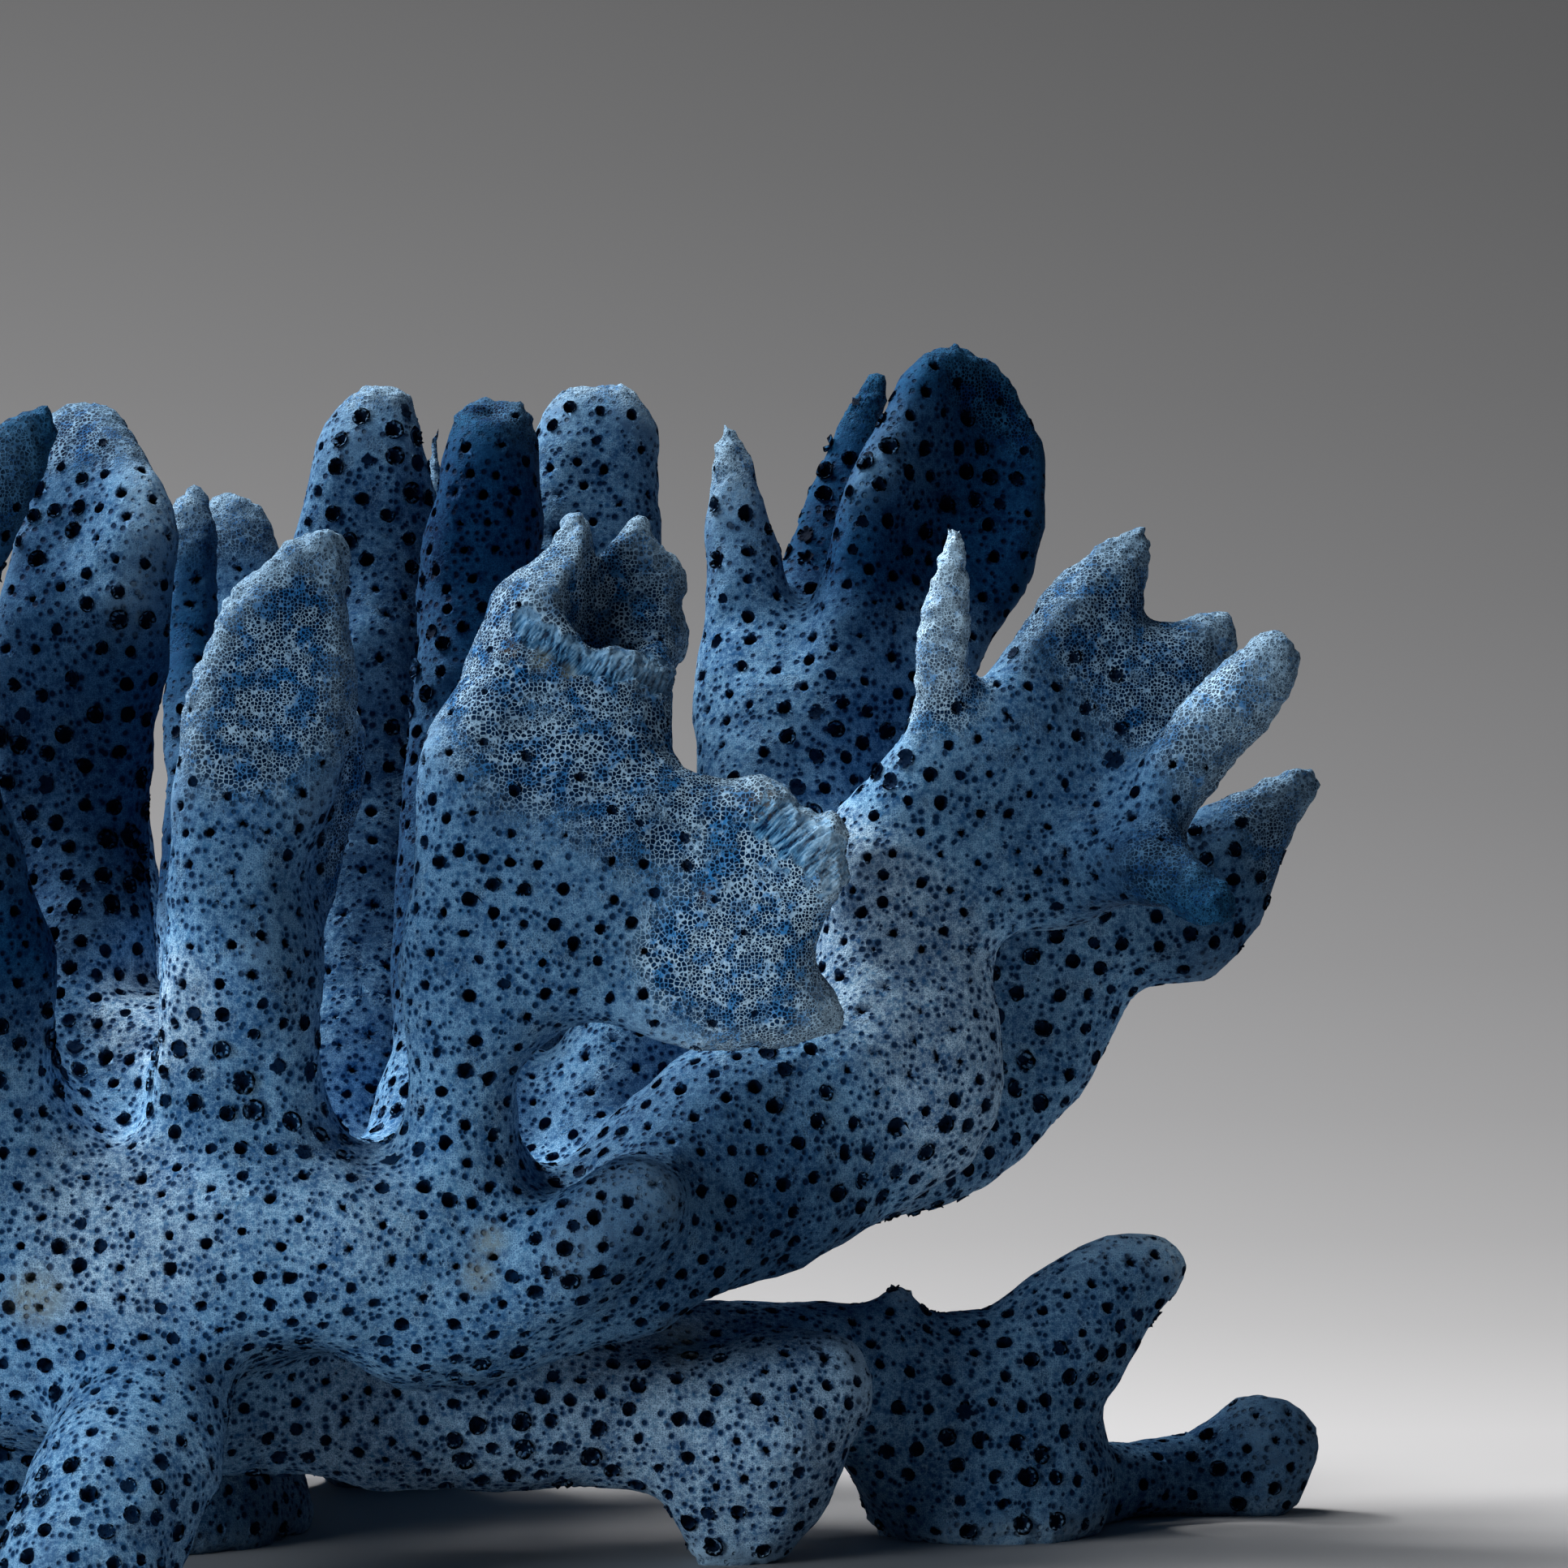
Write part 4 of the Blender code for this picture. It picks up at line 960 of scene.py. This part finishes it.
skinColours = {
    "white": (0.50, 0.72, 0.90),
    "pale": (0.25, 0.48, 0.71),
    "greyed": (0.06, 0.205, 0.385),
    "bright": (0.02, 0.20, 0.52),
    "blue": (0.004, 0.062, 0.20),
    # navy and deep paint the shade in the holes, pits, grooves and the crown's hollow
    "navy": (0.0015, 0.018, 0.065),
    "deep": (0.0006, 0.008, 0.032),
    "darkBlueAndShade": (0.03, 0.11, 0.19),  # what a piece of tone 0 is multiplied by: its dark blue, and painted shade on pieces that lie in shade
    "cream": (0.30, 0.34, 0.29),
    "brown": (0.09, 0.06, 0.03),
}
skinLook = {
    "broadNoise": 0.2,  # noise scales, per millimetre
    "middleNoise": 0.8,
    "smallNoise": 2.6,
    "blotchNoise": 0.55,
    "patchNoise": 0.5,
    "widerNoise": 0.17,
    "cloud": 0.85,  # how strong each effect is
    "halo": 0.9,
    "patch": 0.3,
    # painted shade in the crown's hollow
    "hollow": 0.35,
    # painted shade in the pits of the large pores
    "pitShade": 0.96,
    "midPores": {"Spacing": 0.6, "Size": 0.145, "Share": 0.85, "Softness": 0.3},
    "tubeSize": 0.255,
    "wideTubeSize": 0.33,
    "tinyTubeSize": 0.165,
    "tubeWall": 0.13,
    "glossTint": (0.12, 0.45, 0.8),
    "fibreLean": 0.7,
    "fibreNoise": (6.0, 0.6),  # noise scales across and along the fibres
    "roughness": 0.82,
    "gloss": 0.08,
    "tubeDepth": -0.9,
    "poreDepth": 1.2,
    "grain": 0.5,
    "bumpHeight": 0.00016,
    "bumpStrength": 0.9,
}


def attribute(tree, name):
    return addNode(tree, "Attribute", attribute_name=name).outputs["Fac"]


def useGroup(tree, name, inputs):
    node = addNode(tree, "Group", node_tree=groups[name])
    for title, value in inputs.items():
        if isinstance(value, bpy.types.NodeSocket):
            tree.links.new(value, node.inputs[title])
        else:
            node.inputs[title].default_value = value
    return node.outputs


def tubeNet(tree, place, size):
    return useGroup(tree, "honeycomb", {"Place": place, "Cell Size": size, "Wall": skinLook["tubeWall"]})


def fibreStreaks(tree, place):
    # thin streaks that lean up to the right
    across, along = math.cos(skinLook["fibreLean"]), math.sin(skinLook["fibreLean"])
    thin, long = skinLook["fibreNoise"]
    side, down = (
        addNode(tree, "VectorMath", {0: place, 1: way}, operation="DOT_PRODUCT").outputs["Value"]
        for way in ((across * thin, 0.0, -along * thin), (along * long, 0.0, across * long)))
    streak = addNode(tree, "CombineXYZ", {"X": side, "Y": down})
    return noise(tree, streak.outputs["Vector"], 1.0, 2.0)


def skinMaterial():
    material = bpy.data.materials.new("blueSkeleton")
    material.use_nodes = True
    tree = material.node_tree
    shader = tree.nodes["Principled BSDF"]
    look = skinLook
    colours = {name: (*colour, 1.0) for name, colour in skinColours.items()}
    place = addNode(tree, "VectorMath", {0: addNode(tree, "TexCoord").outputs["Object"], 1: (1000,) * 3},
                    operation="MULTIPLY").outputs[0]
    fine, rim, fibrous, hollow, tone, reach, cream, brown = (
        attribute(tree, name)
        for name in ("fine", "rim", "torn", "hollow", "tone", "poreReach", "cream", "brown"))
    notFine = maths(tree, "SUBTRACT", 1.0, fine)
    broad = noise(tree, place, look["broadNoise"], 3.0, 0.6)
    middle = noise(tree, place, look["middleNoise"], 3.0, 0.6)
    small = noise(tree, place, look["smallNoise"], 4.0, 0.65)

    # the nets of tube ends and the small pores
    midPores = useGroup(tree, "smallPores", {"Place": place, **look["midPores"]})
    tiny = tubeNet(tree, place, look["tinyTubeSize"])
    fineTubes = tubeNet(tree, place, look["tubeSize"])
    wideTubes = tubeNet(tree, place, look["wideTubeSize"])
    wider = faded(tree, noise(tree, place, look["widerNoise"], 2.0), 0.5, 0.56)
    narrower = maths(tree, "SUBTRACT", 1.0, wider)
    tubes = {name: maths(tree, "ADD", maths(tree, "MULTIPLY", wideTubes[name], wider),
                         maths(tree, "MULTIPLY", fineTubes[name], narrower))
             for name in ("Hole", "Tube Shade")}

    # blue clouds of two sizes, and a halo round the pores
    cloud = maths(tree, "ADD", maths(tree, "MULTIPLY", broad, 0.5), maths(tree, "MULTIPLY", middle, 0.5))
    cloud = faded(tree, cloud, 0.45, 0.62)
    halo = maths(tree, "MULTIPLY", faded(tree, reach, 0.9, 2.0, 1.0, 0.0),
                 faded(tree, small, 0.35, 0.65, 0.4, 1.0))
    halo = maths(tree, "MAXIMUM", halo, maths(tree, "MULTIPLY", midPores["Halo"], look["halo"]))
    halo = maths(tree, "MULTIPLY", halo, maths(tree, "MULTIPLY_ADD", notFine, 0.7, 0.25))
    wash = maths(tree, "MULTIPLY", cloud, faded(tree, small, 0.35, 0.6, 0.3, 0.9))
    wash = maths(tree, "MAXIMUM", wash, halo)
    # tone over 1 paints a piece whiter: bleaching, and painted light on lit pieces
    paleBase = mixed(tree, faded(tree, tone, 1.0, 1.7), colours["pale"], colours["white"])
    ground = mixed(tree, faded(tree, small, 0.42, 0.72), paleBase, colours["greyed"])
    ground = mixed(tree, maths(tree, "MULTIPLY", wash, look["cloud"]), ground, colours["blue"])

    # tube ends: everywhere at the tips, in patches lower down
    patch = faded(tree, noise(tree, place, look["patchNoise"], 3.0), 0.54, 0.66, 0.0, look["patch"])
    share = maths(tree, "MAXIMUM", faded(tree, fine, 0.08, 0.6), patch)
    share = maths(tree, "MULTIPLY", share, maths(tree, "SUBTRACT", 1.0, fibrous))
    # painted shade: the open tube ends are painted navy to near black
    openTube = maths(tree, "MULTIPLY", tubes["Hole"], share)
    tubeColour = mixed(tree, faded(tree, tubes["Tube Shade"], 0.3, 1.0), colours["deep"], colours["navy"])
    walls = maths(tree, "MULTIPLY", maths(tree, "SUBTRACT", 1.0, tubes["Hole"]), share)
    walls = maths(tree, "MULTIPLY", walls, faded(tree, middle, 0.4, 0.62, 0.95, 0.5))
    blotch = faded(tree, noise(tree, place, look["blotchNoise"], 4.0, 0.65), 0.46, 0.6)
    wallColour = mixed(tree, blotch, colours["white"], colours["bright"])
    ground = mixed(tree, walls, ground, wallColour)
    ground = mixed(tree, openTube, ground, tubeColour)
    # painted shade: the small pores are painted navy and the tiny tube ends blue
    holes = maths(tree, "MULTIPLY", midPores["Hole"], maths(tree, "MULTIPLY_ADD", notFine, 0.8, 0.12))
    tinyShare = maths(tree, "MULTIPLY", notFine, faded(tree, small, 0.35, 0.6, 0.7, 0.35))
    ground = mixed(tree, maths(tree, "MULTIPLY", tiny["Hole"], tinyShare), ground, colours["blue"])
    ground = mixed(tree, holes, ground, colours["navy"])

    # torn places: pale flakes along the fibres, painted shade between them, and a painted highlight along
    # the upper edge
    flake = maths(tree, "ADD", maths(tree, "MULTIPLY", attribute(tree, "flake"), 0.45),
                  fibreStreaks(tree, place))
    flakeColour = mixed(tree, faded(tree, flake, 0.25, 0.5), colours["navy"], colours["greyed"])
    flakeColour = mixed(tree, faded(tree, flake, 0.48, 0.8), flakeColour, paleBase)
    ground = mixed(tree, fibrous, ground, flakeColour)

    # pale crumbs on the rims, painted shade in the crown's hollow and in the pits of the large pores, and
    # the stains
    crumbs = maths(tree, "MULTIPLY", rim, faded(tree, small, 0.4, 0.6, 0.15, 0.8))
    ground = mixed(tree, crumbs, ground, colours["white"])
    ground = mixed(tree, maths(tree, "MULTIPLY", hollow, look["hollow"]), ground, colours["deep"])
    pitShade = maths(tree, "ADD", reach, faded(tree, small, 0.35, 0.65, -0.1, 0.1))
    ground = mixed(tree, faded(tree, pitShade, 0.88, 1.08, look["pitShade"], 0.0), ground, colours["deep"])
    creamSpots = maths(tree, "MULTIPLY", cream, faded(tree, small, 0.3, 0.6, 0.15, 0.6))
    ground = mixed(tree, creamSpots, ground, colours["cream"])
    brownSpots = maths(tree, "MULTIPLY", brown, faded(tree, small, 0.45, 0.6, 0.0, 0.8))
    ground = mixed(tree, brownSpots, ground, colours["brown"])
    # tone under 1 darkens a piece: its dark blue, and painted shade on pieces in shade
    tint = mixed(tree, tone, colours["darkBlueAndShade"], (1, 1, 1, 1))
    ground = mixed(tree, 1.0, ground, tint, "MULTIPLY")
    tree.links.new(ground, shader.inputs["Base Color"])
    shader.inputs["Specular IOR Level"].default_value = look["gloss"]
    shader.inputs["Specular Tint"].default_value = (*look["glossTint"], 1)
    rough = faded(tree, small, 0.3, 0.7, look["roughness"] - 0.08, look["roughness"] + 0.1)
    tree.links.new(rough, shader.inputs["Roughness"])

    height = maths(tree, "MULTIPLY", openTube, look["tubeDepth"])
    height = maths(tree, "SUBTRACT", height, maths(tree, "MULTIPLY", holes, look["poreDepth"]))
    height = maths(tree, "ADD", height, maths(tree, "MULTIPLY", small, look["grain"]))
    bump = addNode(tree, "Bump", {"Height": height, "Distance": look["bumpHeight"],
                                  "Strength": look["bumpStrength"]})
    tree.links.new(bump.outputs["Normal"], shader.inputs["Normal"])
    return material


# Pieces

mostTriangles = 190000  # a larger piece is given out as a front and a back half
skinValues = ("fine", "rim", "torn", "flake", "hollow", "tone", "poreReach")


def makePieces(skin):
    spots, corners = skin["spots"], skin["corners"]
    normals = pointNormals(spots, corners)
    pixels, _ = photoPixels(spots)
    facing = towardCamera(spots, normals)
    values = {name: skin[name] for name in skinValues}
    for name, places in stains.items():
        values[name] = photoMask(pixels, facing, places)
    low, high = (np.array(corner) / mm for corner in cadBox)
    spots = np.clip(spots, low, high)
    material = skinMaterial()
    most = 0
    for index, name in enumerate(nodeNames):
        mine = corners[skin["owners"] == index]
        halves = {"": mine}
        if len(mine) > mostTriangles:
            behind = spots[mine].mean(axis=1)[:, 1] > np.median(spots[mine][:, 0, 1])
            halves = {"Front": mine[~behind], "Back": mine[behind]}
        for half, faces in halves.items():
            most = max(most, len(faces))
            makePiece(name, name + "Skin" + half, faces, spots, normals, values, material)
    print("largest piece:", most, "triangles")


def makePiece(node, title, faces, spots, normals, values, material):
    used, local = np.unique(faces, return_inverse=True)
    mesh = bpy.data.meshes.new(title)
    mesh.vertices.add(len(used))
    mesh.vertices.foreach_set("co", (spots[used] * mm).astype(np.float32).ravel())
    mesh.loops.add(len(faces) * 3)
    mesh.loops.foreach_set("vertex_index", local.ravel().astype(np.int32))
    mesh.polygons.add(len(faces))
    mesh.polygons.foreach_set("loop_start", np.arange(0, len(faces) * 3, 3, dtype=np.int32))
    mesh.update(calc_edges=True)
    mesh.shade_smooth()
    mesh.normals_split_custom_set_from_vertices(normals[used].astype(np.float32).tolist())
    for name, value in values.items():
        data = mesh.attributes.new(name, "FLOAT", "POINT").data
        data.foreach_set("value", value[used].astype(np.float32))
    mesh.materials.append(material)
    piece = bpy.data.objects.new(title, mesh)
    bpy.context.scene.collection.objects.link(piece)
    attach(piece, "root")
    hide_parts(node)


makePieces(skin)
print("pieces made")
